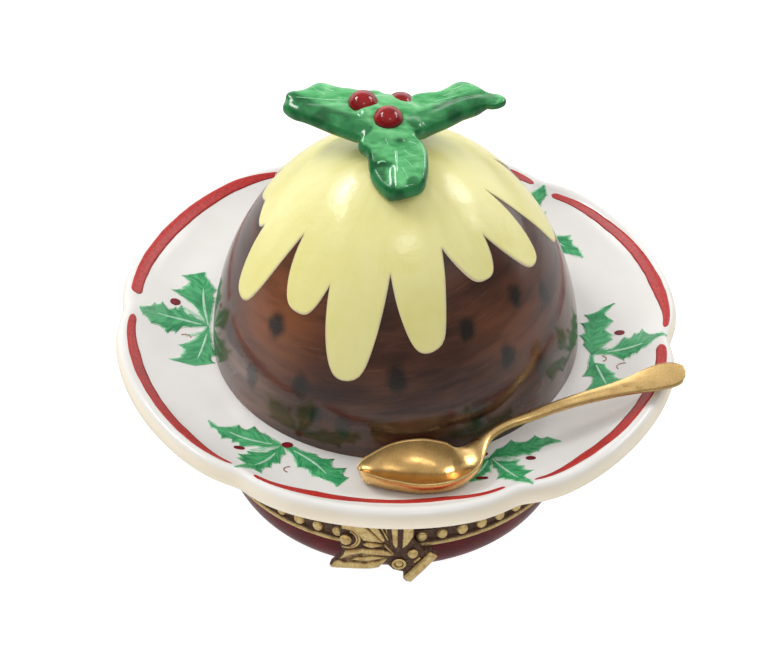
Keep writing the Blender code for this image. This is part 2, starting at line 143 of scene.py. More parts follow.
class Shape:
    """Collects nets of points, and turns them into one piece of the model."""

    def __init__(self):
        self.verts, self.faces, self.uvs = [], [], []

    def net(self, rows, uvs=None, around=False, closed=False):
        """Adds a net. around joins each row's ends, closed joins the last row to the first."""
        start, height, width = len(self.verts), len(rows), len(rows[0])
        for i, row in enumerate(rows):
            for j, point in enumerate(row):
                self.verts.append(tuple(point))
                self.uvs.append(uvs[i][j] if uvs else (i / (height - 1), j / (width - 1)))
        for i in range(height if closed else height - 1):
            below = start + (i + 1) % height * width
            above = start + i * width
            for j in range(width if around else width - 1):
                k = (j + 1) % width
                self.faces.append((above + j, above + k, below + k, below + j))

    def lathe(self, profile, steps, cavities=None, place=None):
        """Turns (radius, height) points about Z."""
        rows, uvs = [], []
        for i, (radius, z) in enumerate(profile):
            ring = [(radius * math.cos(a), radius * math.sin(a), z) for a in turns(steps)]
            rows.append([place @ Vector(p) if place else p for p in ring])
            uvs.append([(cavities[i] if cavities else 0.0, i / len(profile))] * steps)
        self.net(rows, uvs, around=True)

    def slab(self, outline, place, spacing, step=0.12, bevels=(0.06, 0.16)):
        """Fills a closed outline with a solid.

        place(x, y, away) gives the top, the underside and the U of a spot, where away is its distance from
        the outline. step is the spacing along the outline, and each bevel is a row of points beside it.
        """
        ring = densify([Vector(p) for p in outline], step)
        rim = KDTree(len(ring))
        for i, spot in enumerate(ring):
            rim.insert(spot.to_3d(), i)
        rim.balance()
        spots = list(ring)
        for inset in bevels:
            for before, here, after in zip(ring[-1:] + ring[:-1], ring, ring[1:] + ring[:1]):
                across = Vector((-(after - before).y, (after - before).x)).normalized() * inset
                for spot in (here + across, here - across):
                    if inside(spot, ring) and rim.find(spot.to_3d())[2] > inset * 0.9:
                        spots.append(spot)
        low = [min(p[k] for p in ring) for k in (0, 1)]
        high = [max(p[k] for p in ring) for k in (0, 1)]
        for i in range(1, int((high[0] - low[0]) / spacing) + 1):
            for j in range(1, int((high[1] - low[1]) / spacing) + 1):
                spot = Vector((low[0] + i * spacing, low[1] + (j + 0.5 * (i % 2)) * spacing))
                if inside(spot, ring) and rim.find(spot.to_3d())[2] > bevels[-1] + spacing * 0.4:
                    spots.append(spot)
        flat, _, faces, *_ = delaunay_2d_cdt(spots, [], [list(range(len(ring)))], 1, 1e-5)
        start, count = len(self.verts), len(flat)
        tops, unders, marks = [], [], []
        for spot in flat:
            away = rim.find(spot.to_3d())[2]
            top, under, mark = place(spot.x, spot.y, away if away > 0.02 else 0.0)
            tops.append(tuple(top))
            unders.append(tuple(under))
            marks.append((mark, 0.0))
        self.verts += tops + unders
        self.uvs += marks + [(1.0, 0.0)] * count
        used = {}
        for face in faces:
            self.faces.append([start + k for k in face])
            self.faces.append([start + count + k for k in reversed(face)])
            for a, b in zip(face, face[1:] + face[:1]):
                used[min(a, b), max(a, b)] = used.get((min(a, b), max(a, b)), []) + [(a, b)]
        for edges in used.values():
            if len(edges) == 1:
                a, b = edges[0]
                self.faces.append([start + b, start + a, start + count + a, start + count + b])

    def mesh(self, name):
        """One closed, outward-facing mesh, in metres."""
        mesh = bpy.data.meshes.new(name)
        mesh.from_pydata([(x * MM, y * MM, z * MM) for x, y, z in self.verts], [], self.faces)
        layer = mesh.uv_layers.new(name="UVMap")
        for loop in mesh.loops:
            layer.data[loop.index].uv = self.uvs[loop.vertex_index]
        work = bmesh.new()
        work.from_mesh(mesh)
        bmesh.ops.remove_doubles(work, verts=work.verts, dist=0.5e-6)
        bmesh.ops.dissolve_degenerate(work, edges=work.edges, dist=0.2e-6)
        bmesh.ops.recalc_face_normals(work, faces=work.faces)
        work.to_mesh(mesh)
        work.free()
        return mesh


def piece(name, mesh, material, replaces=(), sharp=None):
    """Adds a mesh to the model as one piece that rides on the box."""
    mesh.materials.clear()
    mesh.materials.append(material)
    mesh.shade_smooth()
    if sharp:
        mesh.set_sharp_from_angle(angle=math.radians(sharp))
    made = bpy.data.objects.new(name, mesh)
    bpy.context.scene.collection.objects.link(made)
    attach(made, "root")
    if replaces:
        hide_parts(*replaces)
    return made


def with_modifiers(mesh, *modifiers):
    """The mesh after the modifiers, each a (type, settings) pair."""
    helper = bpy.data.objects.new("helper", mesh)
    bpy.context.scene.collection.objects.link(helper)
    for kind, settings in modifiers:
        modifier = helper.modifiers.new(kind, kind)
        for key, value in settings.items():
            setattr(modifier, key, value)
    bpy.context.view_layer.update()
    evaluated = helper.evaluated_get(bpy.context.evaluated_depsgraph_get())
    made = bpy.data.meshes.new_from_object(evaluated)
    bpy.data.objects.remove(helper, do_unlink=True)
    return made


def surface_of(mesh):
    """A tree for finding the points of a mesh above or beside a place."""
    return BVHTree.FromPolygons([v.co for v in mesh.vertices], [p.vertices[:] for p in mesh.polygons])


# --------------------------------------------------------------- materials

def rgb(red, green, blue):
    """An 8-bit display colour as Blender's linear RGBA."""
    channels = [c / 255 for c in (red, green, blue)]
    return [c / 12.92 if c < 0.04045 else ((c + 0.055) / 1.055) ** 2.4 for c in channels] + [1]


def fill(tree, socket, value):
    """Links a socket to value where that is a node's output, or else sets it."""
    if isinstance(value, bpy.types.NodeSocket):
        tree.links.new(value, socket)
    else:
        socket.default_value = value


def add_node(tree, kind, inputs, output=0, **properties):
    """Adds a shader node and returns one of its outputs."""
    made = tree.nodes.new("ShaderNode" + kind)
    for key, value in properties.items():
        setattr(made, key, value)
    for key, value in inputs.items():
        fill(tree, made.inputs[key], value)
    return made.outputs[output]


class Paint:
    """A Principled material whose nodes are added one call at a time."""

    def __init__(self, name, **settings):
        self.material = bpy.data.materials.new(name)
        self.material.use_nodes = True
        self.tree = self.material.node_tree
        self.settings(**settings)

    def settings(self, **settings):
        """Sets or links the shader's sockets, such as Base_Color."""
        shader = self.tree.nodes["Principled BSDF"]
        for key, value in settings.items():
            fill(self.tree, shader.inputs[key.replace("_", " ")], value)
        return self.material

    def node(self, kind, inputs, output=0, **properties):
        return add_node(self.tree, kind, inputs, output, **properties)

    def place(self, scale=(1, 1, 1), turn=(0, 0, 0)):
        """Object coordinates in millimetres, stretched by scale."""
        where = self.node("TexCoord", {}, "Object")
        return self.node("Mapping", {"Vector": where, "Scale": [s / MM for s in scale],
                                     "Rotation": [math.radians(t) for t in turn]})

    def uv(self, scale=(1, 1, 1)):
        return self.node("Mapping", {"Vector": self.node("TexCoord", {}, "UV"), "Scale": scale})

    def split(self, vector, axis):
        return self.node("SeparateXYZ", {0: vector}, axis)

    def join(self, x, y, z):
        return self.node("CombineXYZ", {0: x, 1: y, 2: z})

    def upward(self):
        """How far the surface faces up, from -1 to 1."""
        return self.split(self.node("NewGeometry", {}, "Normal"), 2)

    def noise(self, vector, scale, detail=3.0, roughness=0.55, distortion=0.0):
        return self.node("TexNoise", {"Vector": vector, "Scale": scale, "Detail": detail,
                                      "Roughness": roughness, "Distortion": distortion})

    def math(self, operation, first, second=0.0, third=0.0):
        return self.node("Math", {0: first, 1: second, 2: third}, operation=operation)

    def times(self, first, second):
        return self.math("MULTIPLY", first, second)

    def jitter(self, value, noise, amount):
        """value moved up and down by a noise whose middle is 0.5."""
        return self.math("MULTIPLY_ADD", self.math("SUBTRACT", noise, 0.5), amount, value)

    def apart(self, point, centre):
        """The distance of a point from a fixed centre."""
        return self.node("VectorMath", {0: point, 1: centre}, "Value", operation="DISTANCE")

    def spread(self, value, low, high, to_low=0.0, to_high=1.0):
        """Maps low..high to to_low..to_high, smoothly, and clamps."""
        return self.node("MapRange", {"Value": value, "From Min": low, "From Max": high, "To Min": to_low,
                                      "To Max": to_high}, interpolation_type="SMOOTHSTEP")

    def mix(self, share, first, second):
        return self.node("Mix", {0: share, 6: first, 7: second}, 2, data_type="RGBA")

    def over(self, colour, share, tint):
        """A display colour laid over another colour by a share."""
        return self.mix(share, colour, rgb(*tint))

    def tones(self, value, low, high, first, second):
        """One display colour where value is low, and another where it is high."""
        return self.mix(self.spread(value, low, high), rgb(*first), rgb(*second))

    def bump(self, height, distance, normal=None):
        """distance is the relief's height in millimetres."""
        inputs = {"Height": height, "Distance": distance * MM, "Strength": 1.0}
        if normal is not None:
            inputs["Normal"] = normal
        return self.node("Bump", inputs)


def porcelain():
    """White glaze over cast porcelain: nearly flat, a shade creamier on the outer wall, where the creamier
    tone is painted light for how the wall is lit.
    """
    p = Paint("white_porcelain", Roughness=0.22, IOR=1.5)
    where = p.place()
    cloud = p.noise(where, 0.09, 3)
    # painted light: the creamier side tone goes where the surface turns from up, for the light on the outer
    # wall
    side = p.tones(cloud, 0.35, 0.65, (238, 226, 202), (243, 232, 212))
    top = p.tones(cloud, 0.35, 0.65, (227, 224, 219), (232, 229, 225))
    colour = p.mix(p.spread(p.upward(), 0.25, 0.92), side, top)
    speck = p.node("TexVoronoi", {"Vector": where, "Scale": 0.42, "Randomness": 1.0}, "Distance")
    dot = p.times(p.spread(speck, 0.045, 0.03), p.spread(p.noise(where, 0.2, 1), 0.62, 0.66))
    colour = p.over(colour, p.times(dot, 0.5), (150, 135, 120))
    return p.settings(Base_Color=colour, Normal=p.bump(p.noise(where, 0.22, 2, 0.4), 0.09))


def band_enamel():
    """The red line round the rim, with the drag of the brush in it."""
    p = Paint("red_enamel", Roughness=0.42, IOR=1.5)
    drag = p.noise(p.uv((60, 5, 1)), 1.0, 3, 0.6)
    patch = p.noise(p.place(), 0.25, 2)
    colour = p.tones(drag, 0.3, 0.7, (160, 24, 22), (194, 46, 40))
    colour = p.over(colour, p.spread(patch, 0.45, 0.75, 0, 0.5), (150, 20, 24))
    return p.settings(Base_Color=colour, Normal=p.bump(drag, 0.012))


def leaf_enamel():
    """Painted holly: wet brush strokes that run out from the midrib."""
    p = Paint("leaf_enamel", Roughness=0.18, IOR=1.5)
    uv = p.uv()
    share = p.split(uv, 0)
    away = p.math("ABSOLUTE", p.math("SUBTRACT", p.split(uv, 1), 0.5))
    stroke = p.join(p.math("MULTIPLY_ADD", share, 26.0, p.times(away, -10.0)), p.times(away, 2.5),
                    p.split(p.place((0.12, 0.12, 0.12)), 0))
    streak = p.noise(stroke, 1.0, 3, 0.6)
    patch = p.noise(p.place(), 0.33, 2, 0.5)
    colour = p.tones(streak, 0.32, 0.68, (44, 136, 84), (88, 180, 120))
    colour = p.over(colour, p.spread(patch, 0.48, 0.72, 0, 0.75), (28, 120, 72))
    thin = p.times(p.spread(away, 0.36, 0.5), p.spread(streak, 0.4, 0.6))
    colour = p.over(colour, p.times(thin, 0.55), (120, 196, 140))
    return p.settings(Base_Color=colour, Normal=p.bump(streak, 0.02))


def flat_enamel(name, first, second, size):
    """A small painted mark of two close colours."""
    p = Paint(name, Roughness=0.2, IOR=1.5)
    return p.settings(Base_Color=p.tones(p.noise(p.place(), size, 2), 0.35, 0.65, first, second))


# middle and radius of each currant that shows through the pudding's glaze
CURRANTS = [
    (-13.4, -14.4, 35.1, 1.15), (-16.6, -14.9, 27.0, 0.95), (-10.2, -19.1, 29.5, 1.0),
    (1.6, -20.5, 32.8, 1.1), (-4.9, -21.9, 25.9, 0.95), (9.6, -16.0, 37.3, 1.0),
    (15.1, -10.4, 38.0, 0.9), (14.5, -14.8, 32.2, 0.95), (18.4, -6.6, 35.4, 1.0),
    (11.4, -19.2, 26.6, 1.1), (18.7, -11.7, 28.2, 1.0), (-19.7, -9.2, 29.2, 0.9),
    (-8.3, -20.7, 26.4, 0.7), (-21.6, 3.2, 31.0, 1.0), (-18.2, 11.5, 35.0, 1.0),
    (-16.8, 14.6, 27.2, 1.1), (-9.8, 17.6, 36.2, 0.9), (-6.4, 21.4, 29.0, 1.0),
    (2.2, 19.4, 36.0, 1.1), (4.8, 22.0, 26.8, 0.9), (11.6, 17.4, 34.0, 1.0),
    (15.6, 15.4, 28.4, 1.1), (19.2, 8.6, 34.4, 0.9), (21.4, 4.6, 28.0, 1.0), (21.6, -2.4, 31.4, 0.9),
]


def pudding_paint():
    """Brown glaze in broad brush strokes, with soft dark currants under it, and a painted reflection of the
    plate low on its sides.
    """
    p = Paint("pudding_brown", Roughness=0.15, IOR=1.62)
    where = p.place()
    x, y, z = (p.split(where, axis) for axis in range(3))
    angle = p.math("ARCTAN2", y, x)
    stroke = p.join(p.times(angle, 2.2), p.math("MULTIPLY_ADD", angle, -1.1, p.times(z, 0.55)), 0.0)
    brush = p.noise(stroke, 1.0, 5, 0.6, 0.35)
    broad = p.noise(p.join(angle, p.times(z, 0.12), 4.0), 1.3, 2)
    colour = p.tones(brush, 0.3, 0.7, (54, 33, 25), (86, 53, 39))

    def glow(centre, size, strength=1.0):
        near = p.spread(p.apart(where, centre), size, size * 0.15)
        return p.times(near, strength) if strength < 1 else near

    warm = p.math("MAXIMUM", glow((-14.5, -14.0, 36.0), 11.0), glow((15.5, -13.0, 36.0), 9.5, 0.42))
    warm = p.math("MAXIMUM", warm, glow((-10.0, 17.0, 34.0), 12.0, 0.8))
    colour = p.over(colour, p.times(warm, p.spread(brush, 0.2, 0.6, 0.45, 1.0)), (128, 76, 46))
    # painted reflection: a rosy grey sheen on the lower left and the right side, for the plate mirrored in
    # the glaze
    rosy_reflection = p.math("MAXIMUM", glow((-17.0, -15.0, 24.0), 10.0), glow((22.0, -2.0, 30.0), 8.0, 0.6))
    colour = p.over(colour, p.times(rosy_reflection, p.spread(brush, 0.25, 0.65, 0.3, 0.8)), (124, 92, 80))
    colour = p.over(colour, p.spread(broad, 0.5, 0.75, 0, 0.5), (42, 22, 20))
    scrape = p.join(p.times(angle, 1.6), p.math("MULTIPLY_ADD", angle, -9.0, p.times(z, 2.6)), 7.0)
    scratch = p.spread(p.noise(scrape, 1.0, 4, 0.75), 0.60, 0.70, 0, 0.30)
    colour = p.over(colour, scratch, (136, 92, 66))

    squash = 0.62                 # the currants are taller than they are wide
    wobble = p.node("TexNoise", {"Vector": where, "Scale": 0.6, "Detail": 2.0}, "Color")
    bent = p.node("VectorMath", {0: wobble, 1: (1.2, 1.2, 1.2), 2: where}, operation="MULTIPLY_ADD")
    bent = p.node("VectorMath", {0: bent, 1: (0.6, 0.6, 0.6)}, operation="SUBTRACT")
    bent = p.node("VectorMath", {0: bent, 1: (1.0, 1.0, squash)}, operation="MULTIPLY")
    dark = 0.0
    for cx, cy, cz, radius in CURRANTS:
        near = p.apart(bent, (cx, cy, cz * squash))
        dark = p.math("MAXIMUM", dark, p.spread(near, radius * 1.6, radius * 0.55))
    colour = p.over(colour, p.times(dark, 0.92), (28, 25, 20))
    return p.settings(Base_Color=colour, Normal=p.bump(brush, 0.04))


def custard_paint():
    """Pale yellow glaze, brushed downwards. The U coordinate is the distance from the edge of the coat."""
    p = Paint("custard_yellow", Roughness=0.22, IOR=1.5)
    where = p.place()
    cloud = p.noise(where, 0.12, 3)
    x, y, z = (p.split(where, axis) for axis in range(3))
    brush = p.noise(p.join(p.times(p.math("ARCTAN2", y, x), 9.0), p.times(z, 0.09), 0.0), 1.0, 4, 0.6)
    colour = p.tones(cloud, 0.35, 0.65, (232, 224, 146), (236, 229, 160))
    colour = p.over(colour, p.spread(brush, 0.4, 0.7, 0, 0.22), (224, 213, 130))
    edge = p.math("MULTIPLY_ADD", p.noise(where, 0.35, 3), 0.5, p.split(p.uv(), 0))
    colour = p.over(colour, p.times(p.spread(edge, 0.62, 0.30), 0.75), (206, 190, 166))
    ripple = p.bump(p.noise(where, 0.7, 2), 0.05, p.bump(cloud, 0.15))
    return p.settings(Base_Color=colour, Normal=ripple)


def green_paint():
    """The moulded leaves. The U coordinate says how dark a place is painted along the rolled edges and in
    hollows, partly darker green paint and partly painted shade. Steep sides are darkened too, as painted
    shade.
    """
    p = Paint("sprig_green", Roughness=0.15, IOR=1.5)
    streak = p.noise(p.place((0.35, 1.1, 0.6), (0, 0, 12)), 1.1, 4, 0.6)
    patch = p.noise(p.place(), 0.4, 3, 0.5)
    colour = p.tones(streak, 0.32, 0.68, (62, 150, 86), (104, 190, 122))
    colour = p.over(colour, p.spread(patch, 0.5, 0.72, 0, 0.6), (142, 214, 152))
    # painted shade: steep sides, rolled edges and hollows are mixed towards the dark green; edges and hollows
    # are partly darker paint too
    steep_painted_shade = p.spread(p.jitter(p.upward(), patch, 0.5), 0.93, 0.62, 0.0, 0.95)
    pooled = p.spread(p.jitter(p.split(p.uv(), 0), streak, 0.9), 0.25, 0.8, 0.0, 0.92)
    deep = p.tones(patch, 0.35, 0.6, (6, 74, 34), (34, 116, 62))
    colour = p.mix(p.math("MAXIMUM", steep_painted_shade, pooled), colour, deep)
    return p.settings(Base_Color=colour, Normal=p.bump(streak, 0.02))


def berry_paint():
    """Wet red glaze, with painted shade that darkens it underneath."""
    p = Paint("berry_red", Roughness=0.07, IOR=1.5)
    colour = p.tones(p.noise(p.place(), 0.9, 3), 0.35, 0.65, (122, 10, 15), (150, 20, 22))
    # painted shade: darker red where the berry faces down
    colour = p.over(colour, p.spread(p.upward(), 0.5, 0.05), (92, 12, 18))
    return p.settings(Base_Color=colour, Normal=p.bump(p.noise(p.place(), 2.2, 2), 0.02))


def gilt():
    """Bright gilding over cast metal, with a fine brushed grain, and a deeper gold in the bowl, a painted
    reflection of the dark pudding in its hollow.
    """
    p = Paint("gilt_spoon", Metallic=1.0)
    grain = p.noise(p.place((1.0, 1.0, 1.0), (0, 0, -25)), 5.0, 3, 0.6)
    coarse = p.noise(p.place(), 0.8, 3)
    colour = p.tones(grain, 0.3, 0.7, (232, 188, 116), (246, 212, 148))
    colour = p.over(colour, p.spread(coarse, 0.5, 0.75, 0, 0.4), (206, 156, 86))
    # painted reflection: the hollow of the bowl is tinted a deeper gold for the dark pudding it mirrors
    bowl = p.apart(p.place(), (3.6, -26.6, 23.4))
    colour = p.over(colour, p.spread(bowl, 6.5, 3.0, 0.0, 0.4), (222, 168, 92))
    return p.settings(Base_Color=colour, Roughness=p.spread(coarse, 0.3, 0.7, 0.36, 0.27),
                      Normal=p.bump(grain, 0.006, p.bump(coarse, 0.02)))


def brass():
    """Antiqued brass. The U coordinate says how deep a place lies: 0 is rubbed bright, 1 is dark."""
    p = Paint("antique_brass")
    grain = p.noise(p.place(), 4.0, 4, 0.6)
    blotch = p.noise(p.place(), 0.9, 3)
    dark = p.spread(p.jitter(p.split(p.uv(), 0), blotch, 0.35), 0.25, 0.70)
    bright = p.tones(grain, 0.35, 0.65, (228, 194, 124), (250, 226, 166))
    bright = p.over(bright, p.spread(blotch, 0.45, 0.65, 0, 0.5), (196, 152, 92))
    patina = p.tones(grain, 0.4, 0.6, (68, 46, 36), (104, 76, 58))
    return p.settings(Base_Color=p.mix(dark, bright, patina), Metallic=p.spread(dark, 0, 1, 0.62, 0.2),
                      Roughness=p.spread(dark, 0, 1, 0.30, 0.55), Normal=p.bump(grain, 0.015))


def maroon():
    """The foot's dark red glaze."""
    p = Paint("maroon_glaze_fine", Roughness=0.1, IOR=1.38)
    cloud = p.noise(p.place(), 0.3, 3)
    return p.settings(Base_Color=p.tones(cloud, 0.35, 0.65, (76, 9, 13), (94, 15, 18)),
                      Normal=p.bump(cloud, 0.08))


# ------------------------------------------------------------ plate and foot

PLATE_Z = 21.5                    # top of the plate under the pudding
LOBES = 6
LOBE_EXTRA = [0.4, 0.0, 0.0, -0.1, 0.0, 0.5]    # how much further each lobe reaches
NOTCH_DEPTH = 0.9
NOTCH_WIDTH = 6.0                 # degrees
LOBE_START_R = 25.0               # the plate is round inside this
LIP_R = 34.9
RIM_RISE = 0.45                   # the hand-made rim is higher on its -X side
SPLIT_Z = 9.7                     # where the lid meets the box
SPIGOT_R = 21.2                   # cores inside the bezels
BEZEL_R = 22.4
BEZEL_OUTER_R = 22.8
FOOT_FLAT_R = 17.4
FOOT_R = 21.8
SHOULDER_Z = 6.6                  # top of the foot's outer wall
# (radius, height) of the plate from its middle over the rim and down to its collar
PLATE_PROFILE = [
    (0, PLATE_Z), (8, PLATE_Z), (16, PLATE_Z), (22.6, PLATE_Z), (25.6, 21.62), (28.5, 22.0), (30.8, 22.65),
    (32.5, 23.42), (33.2, 23.82), (33.75, 23.98), (34.2, 23.88), (34.55, 23.55), (34.82, 22.95),
    (34.88, 22.3), (34.7, 21.65), (34.2, 21.15), (33.1, 20.6), (30.6, 19.1), (28.1, 17.35),
    (26.2, 15.8), (24.6, 14.3), (23.3, 13.1), (22.5, 12.6),
]


def notch(angle):
    """1 in a notch between two lobes, falling to 0 along each lobe."""
    pitch = 360 / LOBES
    away = abs((math.degrees(angle) + pitch / 2) % pitch - pitch / 2)
    return math.exp(-(away / NOTCH_WIDTH) ** 1.5)


def pressed(point):
    """A point of the turned plate after its rim is pressed into lobes."""
    x, y, z = point
    radius = math.hypot(x, y)
    share = (radius - LOBE_START_R) / (LIP_R - LOBE_START_R)
    if share <= 0:
        return point
    angle = math.atan2(y, x)
    lobe = int(math.degrees(angle) % 360 * LOBES / 360)
    reach = LOBE_EXTRA[lobe] * (1 - notch(angle)) - NOTCH_DEPTH * notch(angle)
    scale = 1 + reach * share ** 0.5 / radius
    return x * scale, y * scale, z - RIM_RISE * math.cos(angle) * share


def make_plate():
    path = [(p.x, p.y) for p in smooth_path([(r, z, 0) for r, z in PLATE_PROFILE], 5)]
    under = SPLIT_Z + 0.15
    path += [(SPIGOT_R, 12.5), (SPIGOT_R, under), (0, under)]
    shape = Shape()
    shape.lathe(path, 360)
    shape.verts = [pressed(v) for v in shape.verts]
    mesh = shape.mesh("plate_porcelain")
    piece("plate_porcelain", mesh, porcelain(), ["plate"], 60)
    return surface_of(mesh)


def make_foot():
    wall = []
    for i in range(31):
        share = 1 - i / 30
        out = math.sqrt(1 - (1 - share) ** 2)
        wall.append((FOOT_FLAT_R + (FOOT_R - FOOT_FLAT_R) * out, SHOULDER_Z * share))
    top = SPLIT_Z - 0.2
    core = SPIGOT_R - 0.1
    shoulder = [(0, top), (core, top), (core, SHOULDER_Z + 0.15), (21.5, SHOULDER_Z + 0.12)]
    underside = [(16.9, 0.12), (16.2, 0.3), (8, 0.3), (0, 0.3)]
    shape = Shape()
    shape.lathe(shoulder + wall + underside, 240)
    piece("foot_glaze", shape.mesh("foot_glaze"), maroon(), ["foot"], 50)


# ------------------------------------------------------------ painted plate

class Painter:
    """Lays thin enamel shapes on a surface, seen from above.

    lift is how far they stand off it, and high is a height above all of it.
    """

    def __init__(self, surface, lift, high=60.0):
        self.surface, self.lift, self.high = surface, lift, high
        self.shape = Shape()

    def settle(self, x, y):
        """The spot just above the surface at x, y."""
        hit, normal, _, _ = self.surface.ray_cast(Vector((x, y, self.high)) * MM, Vector((0, 0, -1)))
        if hit is None:
            hit, normal, _, _ = self.surface.find_nearest(Vector((x, y, self.high)) * MM)
        return hit / MM + normal * self.lift

    def stroke(self, line, left, right, steps=40, across=6):
        """A stroke along line(share), left(share) and right(share) wide on its two sides."""
        rows, uvs = [], []
        for i in range(steps + 1):
            share = i / steps
            here = line(share)
            tangent = (line(share + 0.005) - line(share - 0.005)).normalized()
            sideways = Vector((-tangent.y, tangent.x))
            row, marks = [], []
            for j in range(across + 1):
                side = 2 * j / across - 1
                spot = here.xy + sideways * side * (left(share) if side > 0 else right(share))
                row.append(self.settle(spot.x, spot.y))
                marks.append((share, side / 2 + 0.5))
            rows.append(row)
            uvs.append(marks)
        self.shape.net(rows, uvs)

    def finish(self, name, material, slot):
        """Gives the marks a thickness that reaches into the glaze, and adds them as one piece."""
        mesh = self.shape.mesh(name)
        thick = with_modifiers(mesh, ("SOLIDIFY", {"thickness": self.lift * 2.2 * MM, "offset": -1.0}))
        return piece(name, thick, material)


def ragged(spikes, tail, seed):
    """Half width along one side of a holly leaf: spikes with hollows between, and brush hairs."""
    stops = [(0.0, 0.15), *spikes, (1.0, tail)]

    def reach(share):
        index = max(i for i, stop in enumerate(stops[:-1]) if share >= stop[0])
        (s0, w0), (s1, w1) = stops[index], stops[index + 1]
        t = (share - s0) / (s1 - s0)
        hollow = min(0.30, (s1 - s0) * 2.2) * min(abs(w0), abs(w1)) * math.sin(math.pi * t) ** 0.8
        hairs = 0.11 * lumps((share * 47, seed, 0), 1.0, seed)
        hairs += 0.09 * lumps((share * 19, seed, 5), 1.0, seed)
        return w0 + (w1 - w0) * t - hollow + hairs * min(1.0, share * 8, (1 - share) * 12)
    return reach


def holly_leaf(painter, root, tip, bow, left, right, seed, spill=0.0):
    """One painted leaf, spill wider than its outline. Returns its midrib, a line from root to tip."""
    root, tip = Vector(root), Vector(tip)
    along = tip - root
    side = Vector((-along.y, along.x)).normalized()
    reaches = ragged(left, 0.12, seed), ragged(right, 0.02, seed + 4.3)
    rows, uvs = [], []
    steps, half = 110, 5
    for i in range(steps + 1):
        share = i / steps
        spine = bow * math.sin(math.pi * share)
        high, low = reaches[0](share) + spill, -reaches[1](share) - spill
        spine = min(max(spine, low + 0.1), high - 0.1)
        across = [low + (spine - low) * j / half for j in range(half)]
        across += [spine + (high - spine) * j / half for j in range(half + 1)]
        row = []
        for lateral in across:
            lean = 0.25 * abs(lateral - spine) / 2.5
            spot = root + along * share + along.normalized() * lean + side * lateral
            row.append(painter.settle(spot.x, spot.y))
        rows.append(row)
        uvs.append([(share, j / (2 * half)) for j in range(2 * half + 1)])
    painter.shape.net(rows, uvs)
    return lambda share: (root + along * share + side * bow * math.sin(math.pi * share)).to_3d()


